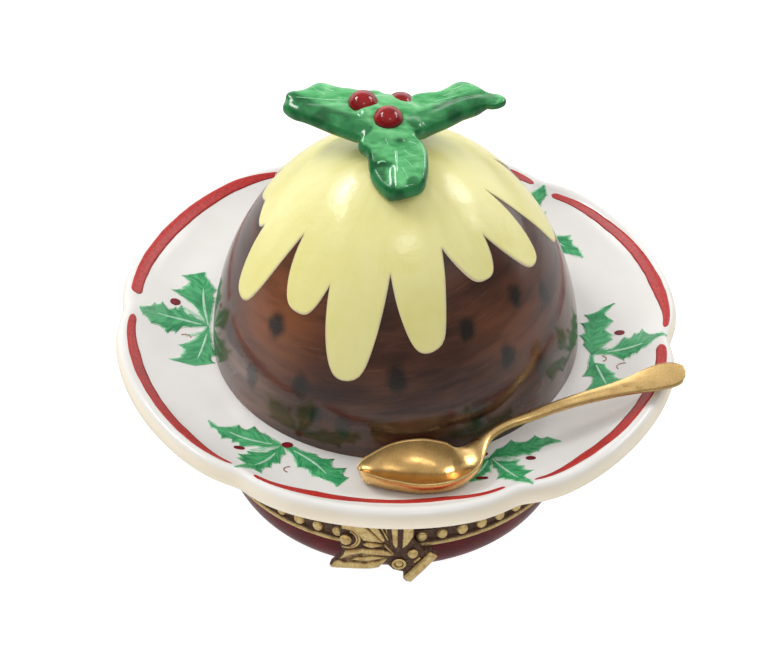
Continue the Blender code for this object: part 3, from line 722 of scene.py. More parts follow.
# Each cluster has its junction, its leaves, then its berries as (x, y, half width, half depth), its curls
# as (x, y, size) and its pale washes as (start, end, half width). A leaf has its tip, its bow, the stretch
# of its vein, and the spikes of its left and its right edge as (share, half width).
CLUSTERS = [
    ((-23.3, 0.1), [
        ((-24.7, 9.9), 0.4, (0.0, 0.7),
         ((0.3, 1.3), (0.6, 4.3), (0.68, 3.0), (0.88, 3.0)),
         ((0.5, 1.0), (0.66, 1.3), (0.92, 0.1))),
        ((-31.9, 0.5), -0.4, (0.1, 0.74),
         ((0.35, 0.9), (0.41, 2.4), (0.52, 2.7), (0.78, 1.9), (0.92, 1.0)),
         ((0.28, 1.9), (0.42, 3.1), (0.5, 2.4), (0.69, 2.8), (0.8, 2.0), (0.9, 0.8))),
        ((-24.4, -7.5), 0.25, (0.2, 0.8),
         ((0.2, 0.7), (0.65, 2.2), (0.82, 2.4)),
         ((0.3, 0.9), (0.56, 2.7), (0.8, 2.1), (0.96, 3.3)))],
     [(-27.8, 3.7, 0.66, 0.56)], [(-25.9, -2.4, 0.7)],
     [((-23.6, 0.6), (-27.2, 3.2), 0.42), ((-24.0, -1.2), (-26.0, -2.2), 0.3)]),
    ((-12.3, -21.0), [
        ((-21.6, -17.7), 0.85, (0.12, 0.68),
         ((0.19, 1.6), (0.43, 3.0), (0.55, 2.5), (0.69, 2.7), (0.76, 1.9), (0.9, 1.1)),
         ((0.27, 1.0), (0.43, 1.8), (0.49, 0.8), (0.62, 1.1), (0.72, 0.2), (0.84, -0.5))),
        ((-17.4, -28.0), 0.7, (0.2, 0.66),
         ((0.1, 1.4), (0.32, 2.3), (0.5, 2.1), (0.75, 2.6), (0.78, 1.2)),
         ((0.27, 0.5), (0.43, 2.3), (0.57, 2.6), (0.69, 1.9), (0.73, 0.3))),
        ((-5.1, -28.4), 0.95, (0.16, 0.72),
         ((0.11, 1.0), (0.36, 2.2), (0.55, 3.4), (0.59, 2.6), (0.76, 3.4), (0.92, 2.4)),
         ((0.2, 0.2), (0.4, 1.3), (0.5, 0.6), (0.62, 1.0), (0.81, 0.2), (0.92, -0.2)))],
     [(-11.7, -20.9, 0.72, 0.5), (-17.4, -22.4, 0.7, 0.34)], [(-10.9, -25.7, 0.9)],
     [((-12.6, -21.6), (-16.2, -22.6), 0.38)]),
    ((12.9, -21.4), [
        ((21.3, -18.2), 0.6, (0.16, 0.76),
         ((0.13, 1.2), (0.36, 2.3), (0.43, 1.6), (0.69, 2.1), (0.84, 1.4)),
         ((0.33, 0.9), (0.51, 1.2), (0.64, 0.8), (0.74, 0.1), (0.9, -0.05))),
        ((18.3, -28.0), 0.0, (0.04, 0.66),
         ((0.13, 0.4), (0.29, 2.4), (0.42, 2.4), (0.6, 2.6), (0.66, 0.9), (0.83, 0.6)),
         ((0.21, 0.9), (0.34, 1.1), (0.46, 2.1), (0.56, 1.5), (0.74, 1.1), (0.89, 0.5))),
        ((10.7, -26.2), 0.1, (0.12, 0.7),
         ((0.2, 0.9), (0.45, 1.5), (0.6, 1.1), (0.8, 1.3)),
         ((0.25, 0.8), (0.5, 1.5), (0.62, 1.1), (0.82, 1.2)))],
     [(17.8, -21.4, 0.62, 0.36), (12.1, -20.8, 0.5, 0.34), (12.1, -25.5, 0.8, 0.3)], [],
     [((13.4, -21.6), (16.6, -21.9), 0.45)]),
    ((24.4, -1.8), [
        ((26.9, 7.6), 1.2, (0.2, 0.66),
         ((0.12, 1.5), (0.27, 2.4), (0.5, 3.0), (0.66, 3.0), (0.86, 1.3)),
         ((0.31, 1.7), (0.38, 1.6), (0.46, 0.3), (0.66, 0.8), (0.75, -0.5), (0.88, -0.4))),
        ((33.5, 0.2), -0.12, (0.2, 0.68),
         ((0.13, 0.7), (0.29, 0.5), (0.46, 2.2), (0.6, 2.4), (0.7, 2.8), (0.79, 1.0), (0.95, 0.4)),
         ((0.24, 0.6), (0.37, 2.2), (0.46, 1.9), (0.57, 1.5), (0.71, 0.9), (0.82, 0.3))),
        ((27.2, -9.1), -0.2, (0.28, 0.76),
         ((0.22, -0.2), (0.29, 1.0), (0.55, 1.5), (0.72, 2.0)),
         ((0.17, 0.9), (0.44, 2.4), (0.52, 1.3), (0.76, 2.9)))],
     [(27.7, 2.1, 0.66, 0.42)], [(25.6, -2.7, 0.7), (28.4, -4.2, 0.9)],
     [((24.8, -1.3), (26.3, -0.6), 0.22)]),
    ((15.0, 21.2), [
        ((22.6, 16.1), 0.4, (0.15, 0.66),
         ((0.3, 1.3), (0.58, 2.4), (0.66, 1.8), (0.8, 1.2)),
         ((0.3, 1.3), (0.55, 1.8), (0.75, 0.5))),
        ((17.2, 27.7), 0.3, (0.15, 0.66),
         ((0.3, 1.3), (0.6, 1.9), (0.8, 1.3)),
         ((0.4, 0.7), (0.62, 0.4), (0.84, 0.7))),
        ((7.0, 27.0), -0.3, (0.15, 0.66),
         ((0.3, 1.4), (0.6, 2.4), (0.8, 1.6)),
         ((0.3, 1.5), (0.6, 2.5), (0.85, 1.6)))],
     [(12.6, 26.2, 0.62, 0.5)], [(17.4, 18.4, 0.8)],
     [((15.4, 21.8), (17.6, 24.2), 0.42)]),
    ((-12.6, 21.4), [
        ((-20.6, 18.4), -0.4, (0.15, 0.68),
         ((0.3, 1.4), (0.6, 2.3), (0.8, 1.3)),
         ((0.25, 1.5), (0.5, 2.5), (0.7, 1.9))),
        ((-14.9, 28.6), 0.4, (0.15, 0.68),
         ((0.3, 1.4), (0.58, 2.5), (0.8, 1.8)),
         ((0.3, 1.2), (0.55, 2.0), (0.8, 1.2))),
        ((-4.4, 27.6), 0.5, (0.15, 0.68),
         ((0.28, 1.3), (0.55, 2.4), (0.78, 1.7)),
         ((0.32, 1.4), (0.6, 2.2), (0.84, 1.3)))],
     [(-17.6, 22.6, 0.62, 0.5), (-10.0, 26.0, 0.62, 0.5)], [(-8.8, 22.4, 0.9)],
     [((-13.0, 22.0), (-15.0, 24.8), 0.42)]),
]
# start and end angle, then the middle radius and half width at five places along the band
BANDS = [
    (175.2, 119.0, (33.0, 33.0, 33.05, 33.1, 32.8), (0.66, 0.72, 0.75, 0.66, 0.20)),
    (182.2, 236.8, (33.1, 32.65, 32.5, 32.55, 33.0), (0.42, 0.72, 0.72, 0.76, 0.30)),
    (242.6, 298.0, (33.3, 31.75, 31.35, 31.25, 32.7), (0.36, 0.78, 0.52, 0.58, 0.40)),
    (304.6, 357.2, (32.7, 32.35, 32.6, 32.8, 33.3), (0.30, 0.74, 0.76, 0.76, 0.62)),
    (2.6, 55.6, (33.8, 33.1, 32.9, 32.55, 32.35), (0.34, 0.72, 0.64, 0.50, 0.36)),
    (60.6, 115.4, (33.0, 32.8, 32.75, 32.8, 33.0), (0.26, 0.62, 0.66, 0.66, 0.58)),
]


# how high each layer of enamel stands, so that the later ones cover the earlier ones
LIFTS = {"washes": 0.022, "leaves": 0.03, "bands": 0.035, "curls": 0.05, "veins": 0.055, "berries": 0.07}


def paint_cluster(layers, number, junction, leaves, spots, hooks, washes):
    """One cluster of holly, on all the layers of enamel."""
    def swell(share):
        return 0.16 * math.sin(math.pi * (0.08 + 0.88 * share)) ** 0.6

    for k, (tip, bow, (first, last), left, right) in enumerate(leaves):
        sides = (tip, bow, left, right)
        holly_leaf(layers["washes"], junction, *sides, number * 2.3 + k * 1.9, 0.14)
        midrib = holly_leaf(layers["leaves"], junction, *sides, number * 3.1 + k * 1.3, -0.06)
        layers["veins"].stroke(lambda share: midrib(first + (last - first) * share), swell, swell, 34, 3)
    for start, end, half in washes:
        start, end = Vector(start).to_3d(), Vector(end).to_3d()

        def wash(share):
            uneven = 1 + 0.2 * lumps((share * 6, half, 0), 1.0)
            return half * math.sin(math.pi * (0.04 + 0.92 * share ** 0.8)) ** 0.7 * uneven
        layers["washes"].stroke(lambda share: start.lerp(end, share), wash, wash, 24, 4)
    for x, y, wide, deep in spots:
        def round_side(share):
            uneven = 1 + 0.12 * lumps((share * 5, x, y), 1.0)
            return deep * math.sqrt(max(1 - (2 * share - 1) ** 2, 0.0004)) * uneven

        def middle(share):
            return Vector((x - wide + 2 * wide * share, y, 0.0))
        layers["berries"].stroke(middle, round_side, round_side, 20, 8)
    for k, (x, y, size) in enumerate(hooks):
        turn = number * 1.7 + k * 2.4

        def hook(share):
            angle = turn + 2.6 * share
            return Vector((x + size * math.cos(angle) * 0.9, y + size * math.sin(angle) * 0.7, 0.0))
        layers["curls"].stroke(hook, lambda share: 0.075, lambda share: 0.075, 16, 1)


def paint_band(painter, start, end, radii, halves):
    """One red band, thinned out at its ends."""
    places = [i / (len(radii) - 1) for i in range(len(radii))]
    radius_at = list(zip(places, radii))
    half_at = list(zip(places, halves))

    def ring(share):
        angle = math.radians(start + (end - start) * share)
        radius = between(radius_at, share) + 0.05 * lumps((angle * 9, 0, 0), 1.0, 3.0)
        return Vector(pressed((radius * math.cos(angle), radius * math.sin(angle), 0.0)))

    def brush(share):
        edge = min(share, 1 - share) * abs(end - start) / 1.6
        cap = math.sqrt(1 - (1 - min(edge, 1.0)) ** 2)
        uneven = 1 + 0.10 * lumps((share * 16, start, 0), 1.0)
        return max(between(half_at, share) * cap, 0.01) * uneven
    painter.stroke(ring, brush, brush, 160, 5)


def make_painting(surface):
    layers = {name: Painter(surface, lift) for name, lift in LIFTS.items()}
    for number, cluster in enumerate(CLUSTERS):
        paint_cluster(layers, number, *cluster)
    for band in BANDS:
        paint_band(layers["bands"], *band)
    finishes = {
        "washes": (flat_enamel("wash_enamel", (196, 218, 198), (150, 200, 162), 1.2), "green_glaze"),
        "leaves": (leaf_enamel(), "green_glaze"),
        "bands": (band_enamel(), "red_glaze"),
        "curls": (flat_enamel("brown_enamel", (150, 96, 78), (176, 130, 110), 2.0), "red_glaze"),
        "veins": (flat_enamel("mint_enamel", (178, 216, 188), (148, 200, 166), 1.5), "green_glaze"),
        "berries": (flat_enamel("berry_enamel", (128, 26, 34), (104, 20, 30), 1.6), "red_glaze"),
    }
    for name, (material, slot) in finishes.items():
        layers[name].finish("plate_" + name, material, slot)


# ----------------------------------------------------------------- pudding

PUDDING_R = 22.6
PUDDING_H = 28.9
PUDDING_BULGE = 1.85              # 2 gives an ellipse, less gives a slimmer dome
DOME_Z = 21.8
CUSTARD_SKIN = 0.13               # how far the custard stands proud of the dome
CUSTARD_SUNK = -0.15              # and how deep its underside lies in it
MEAN_R = 19                       # turns an angle on the dome into a length
# one run of custard: the angles of the two corners of its rounded tip and the tip's height, the curve of
# its left and right sides, then the angle and height of the notch to its right
DRIPS = [
    (-158.0, -152.5, 12.2, 1.1, 1.5, -140.5, 22.8), (-129.5, -124.0, 15.9, 1.45, 1.9, -115.6, 20.0),
    (-105.5, -99.5, 10.0, 1.65, 1.2, -88.7, 22.0), (-76.5, -68.5, 13.5, 1.3, 0.62, -60.5, 23.6),
    (-48.5, -43.0, 19.4, 1.1, 2.4, -34.3, 23.0), (-20.0, -14.5, 16.8, 1.0, 1.9, -7.7, 24.9),
    (7.5, 14.5, 13.4, 1.0, 1.1, 31.5, 23.0), (44.5, 49.5, 16.3, 1.4, 1.6, 60.0, 22.6),
    (73.5, 79.0, 12.3, 1.5, 1.4, 90.0, 23.2), (101.5, 106.5, 16.8, 1.3, 1.8, 117.0, 22.2),
    (129.5, 134.0, 13.6, 1.5, 1.3, 140.0, 22.2), (146.0, 150.0, 17.2, 1.3, 1.6, 157.0, 20.6),
    (163.5, 168.0, 18.6, 1.2, 1.2, 177.5, 19.9), (188.5, 190.5, 18.9, 1.0, 1.0, 193.5, 19.8),
]


def dome_point(share, angle, grow=0.0):
    """A point on the pudding: share 0 is its top, 1 its foot."""
    turn = share * math.pi / 2
    radius = (PUDDING_R + grow) * math.sin(turn)
    height = (PUDDING_H + grow) * max(math.cos(turn), 0.0) ** (2 / PUDDING_BULGE)
    return Vector((radius * math.cos(angle), radius * math.sin(angle), DOME_Z + height))


def dome_share(height):
    """The share at which the dome has a height."""
    return math.acos((height / PUDDING_H) ** (PUDDING_BULGE / 2)) / (math.pi / 2)


def make_pudding():
    rings, steps = 130, 320
    rows = []
    for i in range(rings + 1):
        share = i / rings
        row = []
        for angle in turns(steps):
            point = dome_point(share, angle)
            out = Vector((point.x, point.y, (point.z - DOME_Z) * 0.7)).normalized()
            row.append(point + out * 0.06 * lumps(point, 9.0, 2.0) * math.sin(math.pi * share))
        rows.append(row)
    sunk = PLATE_Z - 0.05
    rows.append([Vector((p.x, p.y, sunk)) for p in rows[-1]])
    rows.append([Vector((0, 0, sunk))] * steps)
    shape = Shape()
    shape.net(rows, around=True)
    piece("pudding_dome", shape.mesh("pudding_dome"), pudding_paint(), ["pudding"], 50)


def side_curve(away, power):
    """0 at the corner of a tip and 1 at the notch, with the corner rounded off."""
    soft = 0.10
    away = (math.sqrt(away * away + soft * soft) - soft) / (math.sqrt(1 + soft * soft) - soft)
    return away ** power


def custard_edge():
    """(angle, height) all round the custard's lower edge, with rounded tips and sharp notches."""
    edge = []
    last_angle, last_height = DRIPS[-1][5] - 360, DRIPS[-1][6]
    for left, right, tip, left_power, right_power, angle, height in DRIPS:
        run = []
        for i in range(21):
            away = 1 - i / 20
            run.append((left + (last_angle - left) * away,
                        tip + (last_height - tip) * side_curve(away, left_power)))
        for i in range(1, 21):
            away = i / 20
            run.append((right + (angle - right) * away, tip + (height - tip) * side_curve(away, right_power)))
        spots = [Vector((math.radians(along) * MEAN_R, up)) for along, up in run]
        even = [spots[0]]
        for here, there in zip(spots, spots[1:]):
            parts = max(1, round((there - here).length / 0.4))
            even += [here.lerp(there, (k + 1) / parts) for k in range(parts)]
        last = len(even) - 1
        for _ in range(10):
            even = [p if i in (0, last)
                    else p.lerp((even[i - 1] + even[i + 1]) / 2, min(i / 8, (last - i) / 8, 1.0))
                    for i, p in enumerate(even)]
        edge += [(math.degrees(p.x / MEAN_R), p.y) for p in even[:-1]]
        last_angle, last_height = angle, height
    return edge


def make_custard():
    edge = custard_edge()
    angles = [math.radians(angle) for angle, _ in edge]
    shares = [dome_share(height) for _, height in edge]
    rim = KDTree(len(edge))
    for i, (angle, share) in enumerate(zip(angles, shares)):
        rim.insert(dome_point(share, angle), i)
    rim.balance()
    outer, marks = [], []
    rows = 40
    for i in range(rows + 1):
        down = 1 - (1 - i / rows) ** 1.35
        row, row_marks = [], []
        for angle, share in zip(angles, shares):
            flat = dome_point(share * down, angle)
            away = rim.find(flat)[2]
            thick = CUSTARD_SKIN * math.sqrt(1 - (1 - min(away / 0.3, 1.0)) ** 2)
            thick += 0.02 * bell(away - 0.5, 0.4) + 0.03 * lumps(flat, 4.2, 5.0) * min(away / 0.8, 1.0)
            row.append(dome_point(share * down, angle, thick))
            row_marks.append((min(away, 2.0), 0.0))
        outer.append(row)
        marks.append(row_marks)
    inner = [[dome_point(share * (1 - i / 8), angle, CUSTARD_SUNK) for angle, share in zip(angles, shares)]
             for i in range(9)]
    shape = Shape()
    shape.net(outer + inner, marks + [[(0.0, 0.0)] * len(edge)] * 9, around=True)
    piece("custard_coat", shape.mesh("custard_coat"), custard_paint(), ["custard"], 70)


# ------------------------------------------------------------- holly sprig

# outline of each leaf's flat top, its height, its thickness, and how far its shoulder is rolled off
SPRIG = {
    "left": ([
        (-2.0, 7.0), (-4.4, 7.3), (-5.9, 7.6), (-7.3, 7.75), (-8.3, 8.1), (-9.2, 8.45), (-10.0, 8.4),
        (-10.7, 7.9), (-11.4, 7.1), (-12.2, 6.75), (-13.2, 6.55), (-13.75, 5.9), (-13.5, 5.3),
        (-12.4, 4.5), (-10.1, 2.8), (-8.0, 1.8), (-6.0, 1.0), (-4.2, 0.4), (0.0, 1.5),
    ], 54.45, 1.5, 0.4),
    "right": ([
        (1.2, 6.6), (2.0, 7.2), (3.0, 7.5), (4.0, 7.65), (4.8, 8.0), (5.6, 8.65), (6.2, 9.4), (6.9, 9.95),
        (7.7, 10.0), (8.6, 9.6), (9.4, 9.0), (10.2, 8.4), (11.1, 8.05), (12.0, 7.9), (12.75, 7.3),
        (12.85, 6.6), (12.3, 6.0), (11.5, 5.7), (10.7, 5.7), (9.6, 6.1), (7.6, 5.4), (5.0, 3.6),
        (2.8, 2.0), (1.0, 1.0), (-2.0, 3.0),
    ], 54.4, 1.1, 0.35),
    "front": ([
        (-3.5, 2.0), (-4.2, 0.4), (-4.3, -0.8), (-4.45, -1.5), (-4.0, -2.05), (-3.4, -2.4), (-3.05, -3.2),
        (-2.95, -4.0), (-2.65, -4.9), (-2.1, -5.9), (-1.4, -6.8), (-0.6, -7.6), (0.3, -8.0), (1.2, -7.95),
        (2.1, -7.7), (3.0, -7.4), (3.6, -7.0), (3.95, -6.3), (4.05, -5.5), (4.15, -4.5), (4.1, -3.5),
        (3.95, -2.5), (3.65, -1.6), (3.1, -0.75), (2.5, -0.2), (2.3, 1.0), (0.0, 3.0),
    ], 54.15, 1.9, 0.75),
}
# the thick rolled near edge of two leaves: (x, y, z, radius)
ROLLS = [
    [(-13.15, 4.95, 53.1, 1.05), (-12.2, 4.3, 53.1, 1.15), (-11.0, 3.7, 53.2, 1.15),
     (-9.6, 2.85, 53.25, 1.12), (-8.0, 2.0, 53.25, 1.1), (-6.4, 1.3, 53.15, 1.1), (-4.4, 0.5, 53.0, 1.1)],
    [(10.3, 6.9, 53.55, 0.8), (9.6, 6.6, 53.5, 1.05), (8.6, 6.1, 53.4, 1.22), (7.2, 5.35, 53.35, 1.3),
     (5.6, 4.1, 53.25, 1.35), (4.2, 3.2, 53.15, 1.35), (2.6, 2.0, 53.0, 1.35)],
]
# hollows of the leaves painted dark green, partly as painted shade: place, reach and strength
HOLLOW_PAINT_AND_SHADE = [
    (-2.1, -6.0, 2.2, 1.0), (-1.7, -4.8, 1.4, 0.85), (-2.6, -1.2, 1.3, 0.6), (2.6, -7.0, 1.4, 0.85),
    (7.0, 9.3, 1.2, 0.6), (2.9, 0.4, 1.3, 0.8),
]
# the pool of glaze that the berries sit in: middle, and its reach sideways, in depth and in height
POOLS = [
    ((-1.9, 4.3, 53.4), 4.2, 2.8, 1.45), ((-0.9, 1.5, 53.0), 3.9, 3.2, 1.45),
    ((0.4, 4.1, 53.2), 2.5, 1.9, 1.5), ((-3.1, 3.0, 53.7), 2.0, 1.6, 1.45),
    ((1.9, 1.6, 53.3), 1.5, 1.6, 1.3), ((0.7, -0.4, 53.2), 1.5, 1.1, 1.05),
]
BERRIES = {
    "berry_front": (-1.05, 1.9, 54.45),
    "berry_left": (-4.3, 4.65, 54.45),
    "berry_right": (0.15, 5.9, 53.4),
}
BERRY_R = 1.82
BERRY_RISE = 1.5                  # half a berry's height
# each vein drawn on the leaves: its start, middle and end, and its half width
SPRIG_VEINS = [
    ((-6.2, 5.0), (-9.0, 5.0), (-12.4, 5.2), 0.09), ((-8.0, 6.6), (-9.0, 7.0), (-9.5, 7.7), 0.08),
    ((-9.0, 5.8), (-9.7, 6.4), (-10.6, 7.0), 0.06), ((4.2, 5.6), (6.6, 6.9), (8.8, 8.0), 0.07),
    ((6.4, 8.0), (7.2, 8.6), (7.7, 9.3), 0.11), ((5.2, 6.8), (6.2, 7.4), (6.8, 8.2), 0.06),
    ((0.2, -2.6), (0.35, -4.0), (0.6, -5.6), 0.20), ((1.2, -2.6), (2.0, -3.2), (2.9, -3.4), 0.07),
    ((1.2, -3.8), (1.9, -4.4), (2.6, -5.2), 0.07), ((1.6, -1.4), (2.4, -1.6), (3.1, -2.2), 0.07),
    ((-1.2, -1.2), (-1.0, -1.5), (-0.8, -2.0), 0.08), ((-1.9, -4.2), (-1.4, -4.0), (-0.9, -4.1), 0.10),
    ((1.1, -5.0), (1.6, -5.9), (1.9, -6.6), 0.06),
]


def roll_off(away, radius):
    """How far a rounded shoulder lies below its flat, at a distance from the edge."""
    left = 1 - min(away / radius, 1.0)
    return radius * (1 - math.sqrt(max(1 - left * left, 0.0)))


def leaf_place(name):
    """Where the top and the underside of a leaf lie, for Shape.slab."""
    _, height, thick, shoulder = SPRIG[name]

    def place(x, y, away):
        top = height
        if name == "front":
            top -= 0.29 * max(0.0, -y) + 0.05 * bell(y + 2.0, 1.5)
            crease = 0.1 - y * 0.1
            top -= 0.14 * max(0.0, crease - x) * ramp01(-y, 2.0, 4.6)
            top -= 0.45 * ramp01(crease - 0.2 - x, 0.0, 0.7) * ramp01(-y, 3.9, 4.7)
            top -= 0.18 * bell(x - crease, 0.35) * ramp01(-y, 0.5, 2.5)
        elif name == "left":
            top -= 0.14 * bell(y - 4.9 - 0.05 * x, 0.4) * ramp01(-x, 3.0, 6.0) - 0.1 * ramp01(y, 4.0, 7.5)
        elif name == "right":
            top += 0.1 * bell(y - 8.8, 1.2) - 0.15 * bell(y - 6.9 - 0.3 * (x - 8.0), 0.7)
        under = top - thick
        return (x, y, top - roll_off(away, shoulder)), (x, y, under + roll_off(away, 0.45)), 0.0
    return place


def paint_and_shade_at(point):
    """How dark the green is painted: 1 along the rolled edges and in a few hollows, 0 on the flats. This is
    partly darker paint and partly painted shade.
    """
    dark = 0.0
    for roll in ROLLS:
        for (x0, y0, *_), (x1, y1, *_) in zip(roll, roll[1:]):
            start, run = Vector((x0, y0)), Vector((x1 - x0, y1 - y0))
            share = min(max((point.xy - start).dot(run) / run.length_squared, 0.0), 1.0)
            away = point.xy - start - run * share
            dark = max(dark, ramp01(away.length, 2.4, 0.7) if away.y > 0 else ramp01(away.length, 2.0, 1.4))
    for x, y, reach, strength in HOLLOW_PAINT_AND_SHADE:
        dark = max(dark, strength * ramp01((point.xy - Vector((x, y))).length, reach, reach * 0.4))
    return dark * (0.75 + 0.25 * lumps(point, 1.5, 3.0))


def add_roll(shape, roll):
    """A round-ended bar along a leaf's near edge."""
    path = smooth_path(roll, 8)
    rows = []
    for i, here in enumerate(path):
        tangent = (path[min(i + 1, len(path) - 1)] - path[max(i - 1, 0)]).xyz.normalized()
        across = Vector((0, 0, 1)).cross(tangent).normalized()
        rise = tangent.cross(across)
        rows.append([here.xyz + (across * math.cos(a) + rise * math.sin(a)) * here.w for a in turns(24)])
    for end, step in ((0, -1), (-1, 1)):
        tangent = (path[end] - path[end - step]).xyz.normalized()
        centre, ring = path[end].xyz, rows[end]
        for turn in (0.5, 1.0, 1.5):
            out = tangent * path[end].w * 0.8 * math.sin(turn)
            cap = [centre + (p - centre) * math.cos(turn) + out for p in ring]
            rows.insert(0 if end == 0 else len(rows), cap)
    tips = [[sum(row, Vector()) / len(row)] * len(row) for row in (rows[0], rows[-1])]
    shape.net(tips[:1] + rows + tips[1:], around=True)


def add_pool(shape, core, wide, deep, tall):
    """A squarish lump of glaze."""
    core = Vector(core)
    rows = []
    for i in range(25):
        turn = math.pi * i / 24
        wall = math.sin(turn) ** 0.8 if 0 < i < 24 else 0.0
        lift = math.copysign(abs(math.cos(turn)) ** 0.75, math.cos(turn))
        rows.append([core + Vector((wide * wall * math.cos(a), deep * wall * math.sin(a), tall * lift))
                     for a in turns(48)])
    shape.net(rows, around=True)


def make_moulding():
    """The leaves and the glaze around the berries, melted into one and made uneven."""
    shape = Shape()
    for name, (outline, *_) in SPRIG.items():
        shape.slab(rounded(outline, 5), leaf_place(name), 0.3, 0.2, (0.12, 0.35))
    for roll in ROLLS:
        add_roll(shape, roll)
    for pool in POOLS:
        add_pool(shape, *pool)
    mesh = with_modifiers(shape.mesh("sprig"),
                          ("REMESH", {"mode": "VOXEL", "voxel_size": 0.17 * MM, "adaptivity": 0.0}),
                          ("SMOOTH", {"factor": 0.5, "iterations": 18}))
    for vert in mesh.vertices:
        point = vert.co / MM
        swell = 0.05 + 0.08 * lumps(point, 2.8, 1.0) + 0.02 * lumps(point, 1.2, 7.0)
        vert.co += vert.normal * swell * MM
    # painted shade and darker paint along the rolls and in hollows, carried to the green in a UV layer
    pooled = [paint_and_shade_at(vert.co / MM) for vert in mesh.vertices]
    layer = mesh.uv_layers.new(name="pooled").data
    for loop in mesh.loops:
        layer[loop.index].uv = (pooled[loop.vertex_index], 0.0)
    piece("holly_moulding", mesh, green_paint(), ["holly_sprig"])
    return surface_of(mesh)


def make_sprig_veins(surface):
    veins = Painter(surface, 0.03, 58.0)
    for *line, width in SPRIG_VEINS:
        arc = [Vector((*p, 0.0)) for p in line]

        def thin(share):
            return width * (1.1 - share * 0.7)
        veins.stroke(lambda share: quadratic(arc, share), thin, thin, 30, 2)
    enamel = flat_enamel("vein_enamel", (150, 212, 166), (120, 196, 144), 1.5)
    veins.finish("holly_veins", enamel, "green_glaze")


def make_berries():
    red = berry_paint()
    for name, place in BERRIES.items():
        rows = []
        for i in range(33):
            turn = math.pi * i / 32
            ring = []
            for a in turns(48):
                out = Vector((math.sin(turn) * math.cos(a), math.sin(turn) * math.sin(a), math.cos(turn)))
                uneven = 1 + 0.02 * lumps(out, 0.7, place[0])
                ring.append(Vector(place) + out * Vector((BERRY_R, BERRY_R, BERRY_RISE)) * uneven)
            rows.append(ring)
        shape = Shape()
        shape.net(rows, around=True)
        piece("red_" + name, shape.mesh(name), red, [name])


# ------------------------------------------------------------------- spoon

# middle of the spoon and its half width, from the tip of the bowl to the end of the handle
SPOON = [
    (-2.62, -27.75, 24.55, 0.02), (-2.45, -27.65, 24.6, 0.62), (-1.9, -27.45, 24.7, 1.25),
    (-1.0, -27.15, 24.75, 1.85), (0.6, -26.8, 24.8, 2.7), (2.6, -26.35, 24.8, 3.4),
    (4.8, -26.15, 24.8, 3.72), (7.0, -26.1, 24.8, 3.45), (8.8, -25.85, 24.8, 2.9),
    (10.15, -25.1, 24.85, 2.2), (11.2, -23.75, 25.0, 1.35), (12.2, -21.95, 25.2, 0.8),
    (13.4, -20.55, 25.4, 0.68), (15.2, -19.25, 25.62, 0.68), (17.8, -18.0, 25.93, 0.78),
    (20.9, -16.25, 26.1, 0.84), (23.9, -14.45, 25.92, 0.96), (26.8, -12.85, 25.7, 1.1),
    (29.4, -11.45, 25.55, 1.42), (31.6, -10.3, 25.5, 1.9), (33.4, -9.4, 25.52, 2.15),
    (34.7, -8.95, 25.56, 1.95), (35.5, -8.75, 25.6, 1.4), (35.85, -8.72, 25.6, 0.8),
    (36.0, -8.7, 25.6, 0.02),
]
# how deep the bowl is, along its length
HOLLOW = [(0.0, 0.0), (0.15, 0.3), (0.35, 1.0), (0.55, 1.9), (0.68, 2.2), (0.8, 1.9), (0.92, 0.9), (1.0, 0.2)]
BOWL_END = 10 / (len(SPOON) - 1)    # the share of the length where the neck begins
BOWL_WALL = 1.9
HANDLE_WALL = 0.62
BOWL_ROLL = 8.0                   # degrees that the bowl leans towards the pudding


def spoon_section(half, bowl, share):
    """(sideways, up) points round the spoon, from its near edge over the top and back underneath.

    half is its half width, bowl is 1 in the bowl and 0 in the handle, share is the place along it.
    """
    lip = min(0.42, half * 0.3) * bowl + 0.12 * (1 - bowl)
    fade = min(half / 0.6, 1.0)
    hollow = between(HOLLOW, share / BOWL_END) * bowl
    ridge = 0.30 * (1 - bowl) * fade * (1 - 0.8 * ramp01(share, 0.72, 0.85))
    wall = (BOWL_WALL * bowl + HANDLE_WALL * (1 - bowl)) * fade
    belly = (0.55 * bowl + 0.2 * (1 - bowl)) * fade
    edge = [(-half, -0.16 * fade), (-half + min(0.07, half * 0.3), -0.03 * fade),
            (-half + min(0.2, half * 0.5) * fade, 0.03 * fade)]
    side = [(half + 0.06 * bowl, -0.35 * wall), (half - min(0.03, half * 0.3), -0.72 * wall),
            (half - min(0.35, half * 0.4), -wall)]
    top, under = [], []
    for i in range(29):
        spot = (half - lip) * math.sin((i / 14 - 1) * math.pi / 2)
        flat = abs(spot) / max(half - lip, 1e-6)
        top.append((spot, -hollow * (1 - flat ** 2) + ridge * max(0.0, 1 - flat ** 2) ** 0.8))
    for i in range(1, 16):
        spot = (half - min(0.3, half * 0.4)) * math.cos(i / 16 * math.pi)
        flat = abs(spot) / max(half, 1e-6)
        under.append((spot, -wall - belly * (1 - flat ** 2)))

    def mirrored(points):
        return [(-x, up) for x, up in reversed(points)]
    return edge + top + mirrored(edge) + side + under + mirrored(side)


def make_spoon():
    points = [Vector(p) for p in SPOON]
    along = 264
    reach = 0.012                 # the share each way over which its direction is taken
    rows = []
    for i in range(along + 1):
        share = i / along
        here = catmull(points, share)
        ahead, behind = catmull(points, min(share + reach, 1.0)), catmull(points, max(share - reach, 0.0))
        tangent = (ahead - behind).xyz.normalized()
        sideways = Vector((0, 0, 1)).cross(tangent).normalized()
        bowl = 1 - ramp01(share, BOWL_END * 0.72, BOWL_END * 1.08)
        sideways = Matrix.Rotation(math.radians(BOWL_ROLL) * bowl, 3, tangent) @ sideways
        upward = tangent.cross(sideways)
        rows.append([here.xyz + sideways * across + upward * up
                     for across, up in spoon_section(max(here.w, 0.01), bowl, share)])
    count = len(rows[0])
    first, last = (sum(row, Vector()) / count for row in (rows[0], rows[-1]))
    shape = Shape()
    shape.net([[first] * count] + rows + [[last] * count], around=True)
    piece("gilt_spoon", shape.mesh("gilt_spoon"), gilt(), ["spoon"])


# ------------------------------------------------------------- brass mounts

